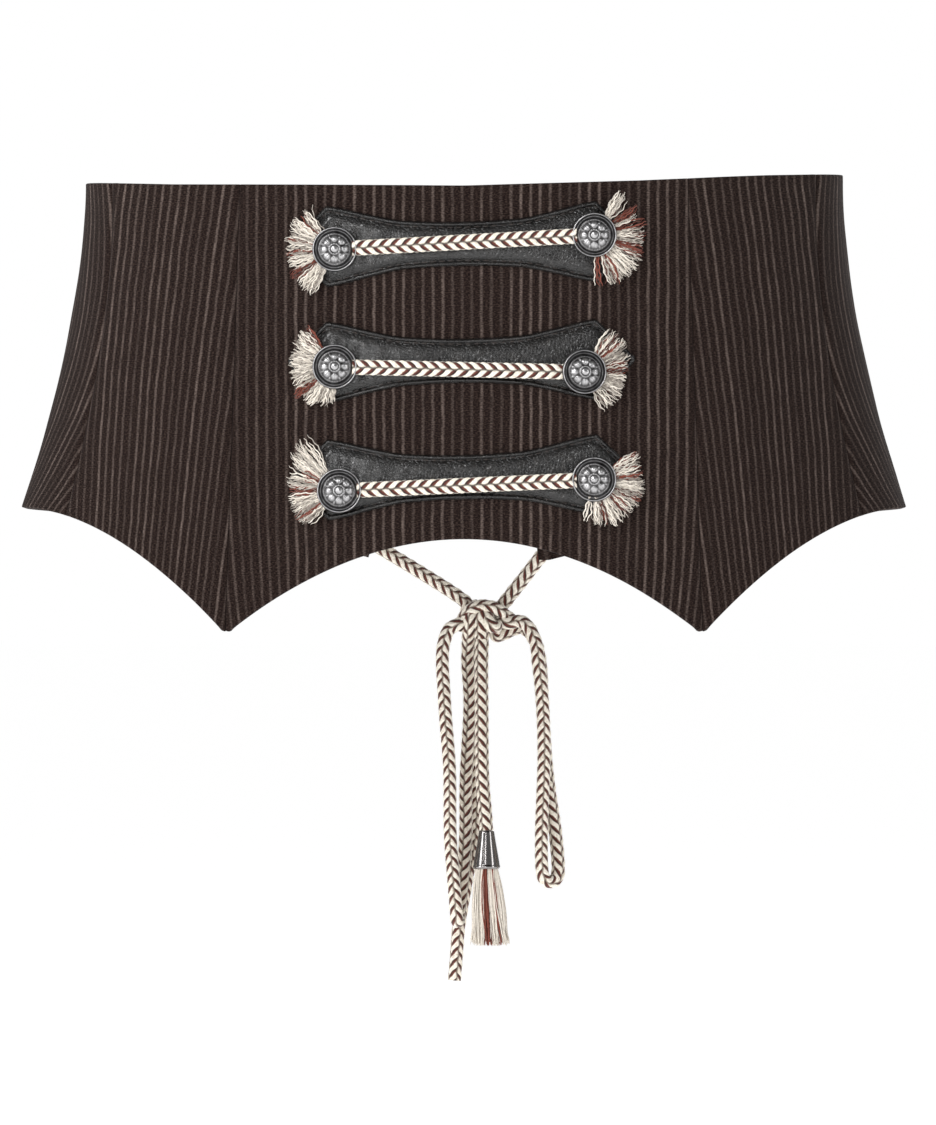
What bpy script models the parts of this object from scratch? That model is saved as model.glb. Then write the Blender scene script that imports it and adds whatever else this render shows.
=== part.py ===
"""A laced corset belt, worn round a waist, with frogged leather straps and a corded bow.

The belt is a loop of seven cloth panels that flares from the waist to the hips. Its hem has
two points at the front, and its back is left open and laced. Metres, +Z up: the front faces -Y,
and the origin is the middle of the waist, level with the top edge.
"""

import math

import bmesh
import bpy
from mathutils import Quaternion, Vector

for old_object in list(bpy.data.objects):
    bpy.data.objects.remove(old_object, do_unlink=True)

# Overall form
WAIST_WIDTH = 0.270        # outside, at the top edge
FRONT_REACH = 0.088        # from the middle of the waist to the front, at the top edge
BACK_REACH = 0.090
FRONT_HEIGHT = 0.126       # from the top edge to the hem, at the front centre
POINT_DROP = 0.0335        # how much lower the two front points hang
SIDE_HEIGHT = 0.1145
BACK_HEIGHT = 0.133
SIDE_FLARE = 0.0228        # how much further out the hem is than the waist
FRONT_FLARE = 0.003
BACK_FLARE = 0.012
FLARE_POWER = 1.7          # the flare opens faster towards the hem
SECTION_POWER = 2.4        # 2 is an ellipse, and more is squarer

# Seams, as distances from the front centre plane
POINT_SEAM_TOP = 0.0795
POINT_SEAM_END = 0.0845
SIDE_SEAM_SHARE = 0.930    # of the half width, at the top
SIDE_SEAM_SHIFT = 0.036    # how much less at the hem
BACK_SEAM_SHARE = 0.700
SIDE_ARCH_POWER = 1.8
POINT_ROUNDING = 0.004
LACING_TOP = 0.040         # the open gap at the back
LACING_END = 0.062
LACING_SHIFT = -0.004      # the gap's lower end lies a little to the left
LACING_POWER = 3

# Cloth and gaps
CLOTH = 0.0022
GAP = 0.0003
PANEL_ROWS = 8
HEM_ROUNDS = 12            # how often the hem's depth is worked out again along a slanting line

# Top edge: place across the half width, and height as a share of FRONT_HEIGHT
TOP_EDGE = (
    (-1.00, 0.006),
    (-0.77, -0.003),
    (0.00, -0.009),
    (0.46, 0.006),
    (0.62, 0.014),
    (0.79, 0.023),
    (1.00, 0.030),
)
TOP_EDGE_BACK = -0.018     # the same share, at the back

# Leather straps
STRAP_LENGTH = 0.122
STRAP_SHOULDER = 0.0474    # from the middle of a strap to its widest place
STRAP_WIDE = 0.0289
STRAP_NARROW = 0.0154
STRAP_TIP = 0.0016
STRAP_THICKNESS = 0.0018
# Share of the way out to the shoulder, and share of the way from narrow to wide
STRAP_EDGE = ((0.0, 0.0), (0.2, 0.03), (0.47, 0.15), (0.735, 0.57), (0.864, 0.81), (1.0, 1.0))

# Braid, buttons and frayed ends
BRAID_WIDTH = 0.0061
BRAID_THICKNESS = 0.0022
BUTTON_DIAMETER = 0.0157
BUTTON_HEIGHT = 0.0046
BUTTON_CLEARANCE = 0.0004
FRAY_RADIUS = 0.0170
FRAY_THICKNESS = 0.0020
FRAY_SPREAD = math.radians(170)

# name, strap's middle (across, down), its tilt in degrees, left button, right button,
# and how far the right button leans, in degrees
STRAPS = (
    ("top", (-0.0009, 0.0218), 1.1, (-0.0454, 0.0237), (0.0457, 0.0187), 0),
    ("middle", (-0.0009, 0.0631), 0.6, (-0.0454, 0.0653), (0.0417, 0.0672), 10),
    ("bottom", (-0.0005, 0.1042), 1.2, (-0.0439, 0.1092), (0.0457, 0.1052), 0),
)

# Button profile: share of the radius, share of the height
BUTTON_PROFILE = (
    (0.00, 0.00),
    (0.86, 0.00),
    (1.00, 0.22),
    (1.00, 0.55),
    (0.90, 0.62),
    (0.80, 0.40),
    (0.70, 0.62),
    (0.42, 0.90),
    (0.00, 1.00),
)

# Eyelets
EYELET_COUNT = 5
EYELET_CLEARANCE = 0.0016  # round the lace
EYELET_WALL = 0.0006
EYELET_RIM = 0.0029        # from the bore out to the flange's edge
EYELET_PLATE = 0.0006
EYELET_HOLE_GAP = 0.0003
EYELET_INSIDE_GAP = 0.0006
EYELET_INSET = 0.0090      # from the lacing edge
EYELET_FIRST = 0.014       # below the waist
EYELET_LAST = 0.123

# Cord and bow
CORD = 0.0050              # diameter
BEND = 1.08                # radius of a bend through an eyelet, in cord diameters
BEND_SHIFT = 0.0007
CROSSING_LIFT = 0.92       # in cord diameters
EDGE_PASS = 0.4            # how far past a panel's edge the lace stays level, in cord diameters
CORD_TURN = math.radians(20)
CORD_STEP = 2.5            # in cord diameters
KNOT_SIZE = (3.0, 2.8, 2.2)  # across, deep and tall, in cord diameters
KNOT_ACROSS = 0.0069
KNOT_BELOW_HEM = 0.0213
KNOT_BEHIND = 0.0035
KNOT_CLEAR = 0.0005        # from the knot's skin to a cord's end
KNOT_STUB = 0.4            # straight start of a cord, in cord diameters
BELL_TOP = 0.0027
BELL_MOUTH = 0.0049
BELL_HEIGHT = 0.0141
TASSEL_LENGTH = 0.0270
TASSEL_WIDTH = 0.0138
TASSEL_DEPTH = 0.0066
ROUND_SIDES = 16

POINT_HEIGHT = FRONT_HEIGHT + POINT_DROP
EYELET_BORE = CORD / 2 + EYELET_CLEARANCE
EYELET_BARREL = EYELET_BORE + EYELET_WALL
EYELET_FLANGE = EYELET_BORE + EYELET_RIM
STRAP_BASE = GAP
STRAP_TOP = STRAP_BASE + STRAP_THICKNESS
TRIM_BASE = STRAP_TOP + GAP


def material(name, colour, roughness, metallic=0.0):
    made = bpy.data.materials.new(name)
    made.use_nodes = True
    shader = made.node_tree.nodes["Principled BSDF"]
    shader.inputs["Base Color"].default_value = (*colour, 1.0)
    shader.inputs["Roughness"].default_value = roughness
    shader.inputs["Metallic"].default_value = metallic
    return made


CLOTH_LOOK = material("striped_cloth", (0.030, 0.021, 0.019), 0.9)
LEATHER_LOOK = material("black_leather", (0.026, 0.024, 0.023), 0.5)
BRAID_LOOK = material("cream_braid", (0.75, 0.66, 0.58), 0.85)
METAL_LOOK = material("dark_pewter", (0.22, 0.22, 0.22), 0.35, 1.0)


def looked_up(table, place):
    """The value of a table at a place, on a straight line between its rows."""
    if place <= table[0][0]:
        return table[0][1]
    for (low, low_value), (high, high_value) in zip(table, table[1:]):
        if place <= high:
            share = (place - low) / (high - low)
            return low_value + (high_value - low_value) * share
    return table[-1][1]


# The belt's outer skin

def half_sizes(depth):
    """Half width, front reach and back reach of the section this far below the waist."""
    opened = (max(depth, 0.0) / SIDE_HEIGHT) ** FLARE_POWER
    return (
        WAIST_WIDTH / 2 + SIDE_FLARE * opened,
        FRONT_REACH + FRONT_FLARE * opened,
        BACK_REACH + BACK_FLARE * opened,
    )


def skin(around, depth):
    """A point of the outer skin: around is 0 at the front centre and positive towards +X."""
    half_width, front, back = half_sizes(depth)
    sideways = math.sin(around)
    forward = math.cos(around)
    reach = front if forward > 0 else back
    total = abs(sideways / half_width) ** SECTION_POWER + abs(forward / reach) ** SECTION_POWER
    radius = total ** (-1 / SECTION_POWER)
    return Vector((radius * sideways, -radius * forward, -depth))


def outward(around, depth):
    small = 1e-4
    along = skin(around + small, depth) - skin(around - small, depth)
    down = skin(around, depth + small) - skin(around, depth - small)
    return down.cross(along).normalized()


def off_skin(around, depth, out):
    return skin(around, depth) + outward(around, depth) * out


def around_at(across, depth, at_back=False):
    """The angle round the belt of the place this far to the side."""
    half_width, front, back = half_sizes(depth)
    share = min(abs(across) / half_width, 1.0)
    forward = (1 - share ** SECTION_POWER) ** (1 / SECTION_POWER)
    if at_back:
        return math.atan2(across, -forward * back)
    return math.atan2(across, forward * front)


def on_front(across, depth, out):
    return off_skin(around_at(across, depth), depth, out)


def on_back(across, depth, out):
    return off_skin(around_at(across, depth, True), depth, out)


# Edges and seams

def lacing_edge(side, depth):
    """How far to the side the open edge lies, at the back."""
    share = min(max(depth / BACK_HEIGHT, 0.0), 1.0) ** LACING_POWER
    half_gap = (LACING_TOP + (LACING_END - LACING_TOP) * share) / 2
    return side * half_gap + LACING_SHIFT * share


def seam(name, side, depth):
    """The angle round the belt of a seam, or of the open edge, at a depth."""
    half_width = half_sizes(depth)[0]
    if name == "point":
        share = depth / POINT_HEIGHT
        across = POINT_SEAM_TOP + (POINT_SEAM_END - POINT_SEAM_TOP) * share
        return side * around_at(across, depth)
    if name == "side":
        share = SIDE_SEAM_SHARE - SIDE_SEAM_SHIFT * depth / SIDE_HEIGHT
        return side * around_at(half_width * share, depth)
    if name == "back":
        return side * around_at(half_width * BACK_SEAM_SHARE, depth, True)
    return around_at(lacing_edge(side, depth), depth, True)


def back_share(around):
    """0 at the side and 1 at the lacing."""
    quarter = math.pi / 2
    last = abs(around_at(LACING_END / 2, BACK_HEIGHT, True))
    return min(max((abs(around) - quarter) / (last - quarter), 0.0), 1.0)


def top_depth(around):
    place = skin(around, 0.0).x / (WAIST_WIDTH / 2)
    if abs(around) <= math.pi / 2:
        lift = looked_up(TOP_EDGE, place)
    else:
        side_lift = TOP_EDGE[-1][1] if around > 0 else TOP_EDGE[0][1]
        lift = side_lift + (TOP_EDGE_BACK - side_lift) * back_share(around)
    return -lift * FRONT_HEIGHT


def front_hem(across):
    """Depth of the front hem: a shallow arch between the points, and a deep one beside each."""
    across = abs(across)
    middle = FRONT_HEIGHT + POINT_DROP * (across / POINT_SEAM_END) ** 2
    side_edge = half_sizes(SIDE_HEIGHT)[0]
    share = max(side_edge - across, 0.0) / (side_edge - POINT_SEAM_END)
    beside = SIDE_HEIGHT + (POINT_HEIGHT - SIDE_HEIGHT) * share ** SIDE_ARCH_POWER
    near = max(POINT_ROUNDING - abs(middle - beside), 0.0) / POINT_ROUNDING
    return min(middle, beside) - near * near * POINT_ROUNDING / 4


def hem_depth(place):
    """Depth of the hem at a place round the belt, given as a function of the depth."""
    depth = SIDE_HEIGHT
    for _ in range(HEM_ROUNDS):
        around = place(depth)
        if abs(around) <= math.pi / 2:
            depth = front_hem(skin(around, depth).x)
        else:
            depth = SIDE_HEIGHT + (BACK_HEIGHT - SIDE_HEIGHT) * back_share(around) ** 2
    return depth


# Solids

def finish(name, mesh_data, look):
    mesh = bpy.data.meshes.new(name)
    bmesh.ops.recalc_face_normals(mesh_data, faces=mesh_data.faces)
    mesh_data.to_mesh(mesh)
    mesh_data.free()
    mesh.materials.append(look)
    mesh.shade_smooth()
    mesh.set_sharp_from_angle(angle=math.radians(40))
    made = bpy.data.objects.new(name, mesh)
    bpy.context.scene.collection.objects.link(made)
    return made


def slab(name, columns, rows, outer, inner, look):
    """A closed solid between two skins, each a function of two shares from 0 to 1."""
    data = bmesh.new()
    layers = []
    for layer in (outer, inner):
        grid = [
            [data.verts.new(layer(i / columns, j / rows)) for j in range(rows + 1)]
            for i in range(columns + 1)
        ]
        layers.append(grid)
        for i in range(columns):
            for j in range(rows):
                data.faces.new((grid[i][j], grid[i + 1][j], grid[i + 1][j + 1], grid[i][j + 1]))
    border = [(i, 0) for i in range(columns)]
    border += [(columns, j) for j in range(rows)]
    border += [(i, rows) for i in range(columns, 0, -1)]
    border += [(0, j) for j in range(rows, 0, -1)]
    front, back = layers
    for (i, j), (m, n) in zip(border, border[1:] + border[:1]):
        data.faces.new((front[i][j], back[i][j], back[m][n], front[m][n]))
    return finish(name, data, look)


def turned(name, profile, sides, look, ring=False):
    """A profile of (radius, height) spun round Z. A ring's profile closes on itself."""
    data = bmesh.new()
    points = [data.verts.new((radius, 0.0, height)) for radius, height in profile]
    edges = [data.edges.new(pair) for pair in zip(points, points[1:])]
    if ring:
        edges.append(data.edges.new((points[-1], points[0])))
    bmesh.ops.spin(
        data,
        geom=points + edges,
        cent=(0, 0, 0),
        axis=(0, 0, 1),
        angle=math.tau,
        steps=sides,
        use_merge=True,
    )
    bmesh.ops.remove_doubles(data, verts=data.verts, dist=1e-6)
    return finish(name, data, look)


def place_on(made, point, direction, lean=0.0):
    """Stand a turned piece at a point, with its axis along a direction, leaning to the right."""
    made.rotation_mode = "QUATERNION"
    made.rotation_quaternion = direction.to_track_quat("Z", "Y")
    made.location = point
    if lean:
        made.rotation_quaternion.rotate(Quaternion((0, 0, 1), lean))


# Cloth panels

def panel(name, side_a, seam_a, side_b, seam_b, columns):
    """A cloth panel from one seam to the next, going round with the angle."""

    def edge(side, seam_name, sign, depth):
        around = seam(seam_name, side, depth)
        width = (skin(around + 1e-3, depth) - skin(around - 1e-3, depth)).length / 2e-3
        inset = 0.0 if seam_name == "lacing" else sign * GAP / 2 / width
        return around + inset

    def around(share, depth):
        first = edge(side_a, seam_a, 1, depth)
        last = edge(side_b, seam_b, -1, depth)
        return first + (last - first) * share

    ends = []
    for i in range(columns + 1):
        share = i / columns
        ends.append((top_depth(around(share, 0.0)), hem_depth(lambda d: around(share, d))))

    def layer(out):
        def point(u, v):
            top, hem = ends[round(u * columns)]
            depth = top + (hem - top) * v
            return off_skin(around(u, depth), depth, out)
        return point

    return slab(name, columns, PANEL_ROWS, layer(0.0), layer(-CLOTH), CLOTH_LOOK)


# name, first seam (side, seam), last seam (side, seam), columns
PANELS = (
    ("back_panel_right", (1, "back"), (1, "lacing"), 8),
    ("side_panel_right", (1, "side"), (1, "back"), 10),
    ("front_side_panel_right", (1, "point"), (1, "side"), 7),
    ("centre_front_panel", (-1, "point"), (1, "point"), 16),
    ("front_side_panel_left", (-1, "side"), (-1, "point"), 7),
    ("side_panel_left", (-1, "back"), (-1, "side"), 10),
    ("back_panel_left", (-1, "lacing"), (-1, "back"), 8),
)


def make_panels():
    made = {}
    for name, first, last, columns in PANELS:
        made[name] = panel(name, *first, *last, columns)
    return made


# Straps, braid, buttons and frayed ends

def strap_half_width(distance):
    if distance <= STRAP_SHOULDER:
        share = looked_up(STRAP_EDGE, distance / STRAP_SHOULDER)
        return (STRAP_NARROW + (STRAP_WIDE - STRAP_NARROW) * share) / 2
    share = (distance - STRAP_SHOULDER) / (STRAP_LENGTH / 2 - STRAP_SHOULDER)
    return (STRAP_WIDE + (STRAP_TIP - STRAP_WIDE) * share) / 2


def strap(name, middle, tilt):
    stations = [STRAP_SHOULDER * share for share in (0, 0.2, 0.35, 0.47, 0.6, 0.735, 0.864, 1.0)]
    stations += [STRAP_SHOULDER + (STRAP_LENGTH / 2 - STRAP_SHOULDER) * share for share in (0.5, 1)]
    stations = [-distance for distance in reversed(stations[1:])] + stations
    columns = len(stations) - 1

    def layer(out):
        def point(u, v):
            along = stations[round(u * columns)]
            away = strap_half_width(abs(along)) * (2 * v - 1)
            across = middle[0] + along * math.cos(tilt) - away * math.sin(tilt)
            depth = middle[1] - along * math.sin(tilt) - away * math.cos(tilt)
            return on_front(across, depth, out)
        return point

    return slab(name, columns, 4, layer(STRAP_TOP), layer(STRAP_BASE), LEATHER_LOOK)


def braid(name, left, right):
    """A flat braid between two buttons, thinner along its edges."""
    start = Vector(left)
    run = Vector(right) - start
    clear = BUTTON_DIAMETER / 2 + BUTTON_CLEARANCE
    length = run.length
    along = run / length
    across = Vector((-along.y, along.x))

    def layer(thickness, crown):
        def point(u, v):
            away = 2 * v - 1
            place = start + along * (clear + (length - 2 * clear) * u) + across * away * BRAID_WIDTH / 2
            out = TRIM_BASE + thickness - crown * away * away
            return on_front(place.x, place.y, out)
        return point

    top = layer(BRAID_THICKNESS, BRAID_THICKNESS * 0.5)
    return slab(name, 10, 4, top, layer(0.0, 0.0), BRAID_LOOK)


def frayed_end(name, button, side):
    """The open fan of a cord's frayed end, from the button's rim outwards."""
    start_radius = BUTTON_DIAMETER / 2 + BUTTON_CLEARANCE

    def layer(thickness, slope):
        def point(u, v):
            angle = FRAY_SPREAD * (u - 0.5)
            radius = start_radius + (FRAY_RADIUS - start_radius) * v
            across = button[0] + side * radius * math.cos(angle)
            depth = button[1] + radius * math.sin(angle)
            return on_front(across, depth, TRIM_BASE + thickness - slope * v)
        return point

    top = layer(FRAY_THICKNESS, FRAY_THICKNESS * 0.4)
    return slab(name, 10, 2, top, layer(0.0, 0.0), BRAID_LOOK)


def button(name, place, lean):
    radius = BUTTON_DIAMETER / 2
    profile = [(share * radius, height * BUTTON_HEIGHT) for share, height in BUTTON_PROFILE]
    made = turned(name, profile, ROUND_SIDES, METAL_LOOK)
    around = around_at(place[0], place[1])
    lift = TRIM_BASE + radius * math.sin(lean)
    place_on(made, off_skin(around, place[1], lift), outward(around, place[1]), lean)
    return made


def make_frogging():
    for row, middle, tilt, left, right, lean in STRAPS:
        strap("strap_" + row, middle, math.radians(tilt))
        braid("braid_" + row, left, right)
        button(f"button_{row}_left", left, 0.0)
        button(f"button_{row}_right", right, math.radians(lean))
        frayed_end(f"frayed_end_{row}_left", left, -1)
        frayed_end(f"frayed_end_{row}_right", right, 1)


# Eyelets

def eyelet_place(side, row):
    """How far to the side and down the middle of an eyelet is. Rows count from 0 at the top."""
    depth = EYELET_FIRST + (EYELET_LAST - EYELET_FIRST) * row / (EYELET_COUNT - 1)
    return lacing_edge(side, depth) + side * EYELET_INSET, depth


def eyelet(name, place):
    outside = GAP
    inside = -CLOTH - EYELET_INSIDE_GAP
    profile = (
        (EYELET_BORE, outside + EYELET_PLATE),
        (EYELET_FLANGE, outside + EYELET_PLATE),
        (EYELET_FLANGE, outside),
        (EYELET_BARREL, outside),
        (EYELET_BARREL, inside),
        (EYELET_FLANGE, inside),
        (EYELET_FLANGE, inside - EYELET_PLATE),
        (EYELET_BORE, inside - EYELET_PLATE),
    )
    made = turned(name, profile, ROUND_SIDES, METAL_LOOK, ring=True)
    around = around_at(*place, True)
    place_on(made, skin(around, place[1]), outward(around, place[1]))
    return made


def punch_holes(cloth, places):
    """Cut the eyelets' holes through a panel."""
    data = bmesh.new()
    for place in places:
        around = around_at(*place, True)
        normal = outward(around, place[1])
        matrix = normal.to_track_quat("Z", "Y").to_matrix().to_4x4()
        matrix.translation = skin(around, place[1])
        bmesh.ops.create_cone(
            data,
            cap_ends=True,
            segments=ROUND_SIDES,
            radius1=EYELET_BARREL + EYELET_HOLE_GAP,
            radius2=EYELET_BARREL + EYELET_HOLE_GAP,
            depth=CLOTH * 6,
            matrix=matrix,
        )
    cutter = finish("holes_of_" + cloth.name, data, CLOTH_LOOK)
    cutter.hide_render = True
    cutter.display_type = "WIRE"
    cut = cloth.modifiers.new("eyelet holes", "BOOLEAN")
    cut.operation = "DIFFERENCE"
    cut.solver = "EXACT"
    cut.object = cutter


def make_eyelets(panels):
    for side, word in ((-1, "left"), (1, "right")):
        places = [eyelet_place(side, row) for row in range(EYELET_COUNT)]
        punch_holes(panels["back_panel_" + word], places)
        for row, place in enumerate(places):
            eyelet(f"eyelet_{word}_{row + 1}", place)


# Cords

def smooth_curve(route):
    """Fine points along a smooth curve through a route's points."""
    ends = [route[0] * 2 - route[1]] + list(route) + [route[-1] * 2 - route[-2]]
    fine = []
    for before, start, end, after in zip(ends, ends[1:], ends[2:], ends[3:]):
        pairs = ((before, start), (start, end), (end, after))
        gaps = [math.sqrt(max((b - a).length, 1e-6)) for a, b in pairs]
        leave = (start - before) / gaps[0] - (end - before) / (gaps[0] + gaps[1]) + (end - start) / gaps[1]
        arrive = (end - start) / gaps[1] - (after - start) / (gaps[1] + gaps[2]) + (after - end) / gaps[2]
        leave = leave * gaps[1]
        arrive = arrive * gaps[1]
        steps = max(int((end - start).length / (CORD / 10)), 4)
        for i in range(steps):
            t = i / steps
            fine.append(
                start * (2 * t ** 3 - 3 * t ** 2 + 1)
                + leave * (t ** 3 - 2 * t ** 2 + t)
                + end * (3 * t ** 2 - 2 * t ** 3)
                + arrive * (t ** 3 - t ** 2)
            )
    fine.append(route[-1])
    return fine


def kept_points(fine):
    """Those points where the curve has gone on by a step, or has turned enough."""
    kept = [fine[0]]
    travelled = 0.0
    turned_by = 0.0
    for before, here, after in zip(fine, fine[1:], fine[2:]):
        travelled += (here - before).length
        turned_by += (here - before).angle(after - here)
        if travelled >= CORD_STEP * CORD or turned_by >= CORD_TURN:
            kept.append(here)
            travelled = 0.0
            turned_by = 0.0
    if (fine[-1] - kept[-1]).length < CORD / 4:
        kept.pop()
    kept.append(fine[-1])
    return kept


def cord(name, route):
    points = kept_points(smooth_curve(route))
    curve = bpy.data.curves.new(name, "CURVE")
    curve.dimensions = "3D"
    curve.bevel_depth = CORD / 2
    curve.bevel_resolution = 2
    curve.use_fill_caps = True
    spline = curve.splines.new("POLY")
    spline.points.add(len(points) - 1)
    for spot, point in zip(spline.points, points):
        spot.co = (*point, 1.0)
    curve.materials.append(BRAID_LOOK)
    made = bpy.data.objects.new(name, curve)
    bpy.context.scene.collection.objects.link(made)
    return made


def knot_middle():
    hem = on_back(0.0, BACK_HEIGHT, KNOT_BEHIND)
    return Vector((KNOT_ACROSS, hem.y, -BACK_HEIGHT - KNOT_BELOW_HEM))


def knot_point(direction, out):
    """A point this far off the knot's skin, in a direction from its middle."""
    half = Vector(KNOT_SIZE) * CORD / 2
    way = Vector(direction).normalized()
    reach = 1 / math.sqrt(sum((w / h) ** 2 for w, h in zip(way, half)))
    on_skin = way * reach
    normal = Vector([c / (h * h) for c, h in zip(on_skin, half)]).normalized()
    return knot_middle() + on_skin + normal * out


# Direction in which each cord leaves the knot
KNOT_WAYS = {
    "lace_left": (-0.80, 0.15, 0.60),
    "lace_right": (0.85, 0.15, 0.50),
    "loop_left_out": (-0.93, -0.30, -0.20),
    "loop_left_in": (-0.60, 0.35, -0.70),
    "loop_right_out": (0.93, -0.30, -0.15),
    "loop_right_in": (0.60, 0.40, -0.65),
    "tail_left": (0.00, 0.85, -0.50),
    "tail_right": (-0.05, -0.45, -0.90),
}

# Route of each hanging strand, from the knot's middle: metres across, cord diameters back,
# and metres down
LOOP_LEFT_OUT = (
    (-0.0122, -0.48, 0.0040),
    (-0.0143, -0.52, 0.0094),
    (-0.0148, -0.52, 0.0156),
    (-0.0143, -0.52, 0.0249),
    (-0.0136, -0.52, 0.0361),
    (-0.0122, -0.52, 0.0546),
    (-0.0119, -0.52, 0.0787),
    (-0.0110, -0.48, 0.0960),
    (-0.0102, -0.44, 0.1070),
)
LOOP_LEFT_IN = (
    (-0.0064, 0.72, 0.1070),
    (-0.0060, 0.76, 0.0960),
    (-0.0054, 0.76, 0.0787),
    (-0.0053, 0.76, 0.0585),
    (-0.0050, 0.74, 0.0300),
    (-0.0056, 0.72, 0.0140),
)
LOOP_RIGHT_OUT = (
    (0.0130, -0.44, 0.0012),
    (0.0160, -0.48, 0.0029),
    (0.0191, -0.52, 0.0094),
    (0.0198, -0.52, 0.0156),
    (0.0213, -0.52, 0.0296),
    (0.0219, -0.52, 0.0499),
    (0.0210, -0.48, 0.0787),
    (0.0216, -0.40, 0.0900),
)
LOOP_RIGHT_IN = (
    (0.0270, 0.36, 0.0900),
    (0.0262, 0.52, 0.0787),
    (0.0238, 0.68, 0.0621),
    (0.0225, 0.72, 0.0499),
    (0.0213, 0.76, 0.0296),
    (0.0178, 0.80, 0.0150),
    (0.0110, 0.84, 0.0085),
)
TAIL_LEFT = (
    (-0.0040, 1.84, 0.0120),
    (-0.0100, 1.92, 0.0290),
    (-0.0116, 1.92, 0.0546),
    (-0.0110, 1.84, 0.0787),
    (-0.0092, 2.04, 0.1000),
    (-0.0088, 2.08, 0.1110),
    (-0.0095, 1.92, 0.1210),
    (-0.0104, 1.60, 0.1311),
)
TAIL_RIGHT = (
    (-0.0006, -0.76, 0.0160),
    (-0.0005, -0.80, 0.0330),
    (-0.0002, -0.80, 0.0585),
    (0.0008, -0.80, 0.0705),
    (0.0012, -0.80, 0.0759),
)
BELL_ACROSS = 0.0012
BELL_BACK = -0.80
BELL_DOWN = 0.0762


def hung(rows):
    middle = knot_middle()
    return [middle + Vector((across, back * CORD, -down)) for across, back, down in rows]


def knot_end(way):
    """The two points with which a cord leaves the knot, straight off its skin."""
    return [knot_point(KNOT_WAYS[way], out) for out in (KNOT_CLEAR, KNOT_CLEAR + CORD * KNOT_STUB)]


def lower_turn(start, end):
    """The half circle with which a hanging loop turns back up."""
    middle = (start + end) / 2
    half = (start - end) / 2
    drop = Vector((0, 0, -half.length))
    return [
        middle + half * math.cos(angle) + drop * math.sin(angle)
        for angle in (math.radians(45), math.radians(90), math.radians(135))
    ]


def loop(name, out_rows, in_rows):
    going = hung(out_rows)
    coming = hung(in_rows)
    route = knot_end(name + "_out") + going + lower_turn(going[-1], coming[0])
    route += coming + knot_end(name + "_in")[::-1]
    return cord(name, route)


def eyelet_bend(place, before, after):
    """The turn of the lace through an eyelet, from inside the belt to its outside."""
    around = around_at(*place, True)
    normal = outward(around, place[1])
    middle = off_skin(around, place[1], -CLOTH / 2)
    ways = []
    for other in (before, after):
        way = other - middle
        way -= normal * way.dot(normal)
        ways.append(way.normalized())
    radius = BEND * CORD
    middle = middle - (ways[0] + ways[1]).normalized() * BEND_SHIFT
    bend = []
    for degrees in (-90, -45, 0, 45, 90):
        angle = math.radians(degrees)
        way = ways[0] if degrees < 0 else ways[1]
        bend.append(middle + way * radius * (1 - math.cos(angle)) + normal * radius * math.sin(angle))
    return bend


def lace(name, side):
    """Half of the lace: from the middle of the top bar, crossing down to the knot."""
    level = -CLOTH / 2
    first = eyelet_place(side, 0)
    start = on_back(side * GAP, first[1], level - BEND * CORD)
    crossings = [start]
    for row in range(EYELET_COUNT - 1):
        here = eyelet_place(side, row)[1]
        below = eyelet_place(side, row + 1)[1]
        over = 1 if (row + (side > 0)) % 2 else -1
        crossings.append(on_back(0.0, (here + below) / 2, level + over * CROSSING_LIFT * CORD))
    ending = knot_end(name)[::-1]
    crossings.append(ending[0])
    route = [start]
    for row in range(EYELET_COUNT):
        row_side = side if row % 2 == 0 else -side
        place = eyelet_place(row_side, row)
        route += eyelet_bend(place, crossings[row], crossings[row + 1])
        if row < EYELET_COUNT - 1:
            route += over_the_gap(row_side, place, crossings[row + 1], eyelet_place(-row_side, row + 1))
    route += ending
    return cord(name, route)


def over_the_gap(side, place, crossing, next_place):
    """The lace over its own panel's edge, past the crossing, and under the other panel."""
    level = -CLOTH / 2
    reach = BEND * CORD
    step = EYELET_INSET + EDGE_PASS * CORD
    leave_depth = place[1] + (next_place[1] - place[1]) * step / abs(next_place[0] - place[0])
    arrive_depth = next_place[1] - (next_place[1] - place[1]) * step / abs(next_place[0] - place[0])
    return [
        on_back(place[0] - side * step, leave_depth, level + reach),
        crossing,
        on_back(next_place[0] + side * step, arrive_depth, level - reach),
    ]


def make_cords():
    for word, side in (("left", -1), ("right", 1)):
        lace("lace_" + word, side)
    loop("loop_left", LOOP_LEFT_OUT, LOOP_LEFT_IN)
    loop("loop_right", LOOP_RIGHT_OUT, LOOP_RIGHT_IN)
    cord("tail_left", knot_end("tail_left") + hung(TAIL_LEFT))
    cord("tail_right", knot_end("tail_right") + hung(TAIL_RIGHT))


def make_knot():
    data = bmesh.new()
    bmesh.ops.create_uvsphere(data, u_segments=ROUND_SIDES, v_segments=10, radius=0.5)
    bmesh.ops.scale(data, vec=Vector(KNOT_SIZE) * CORD, verts=data.verts)
    made = finish("bow_knot", data, BRAID_LOOK)
    made.location = knot_middle()


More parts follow.
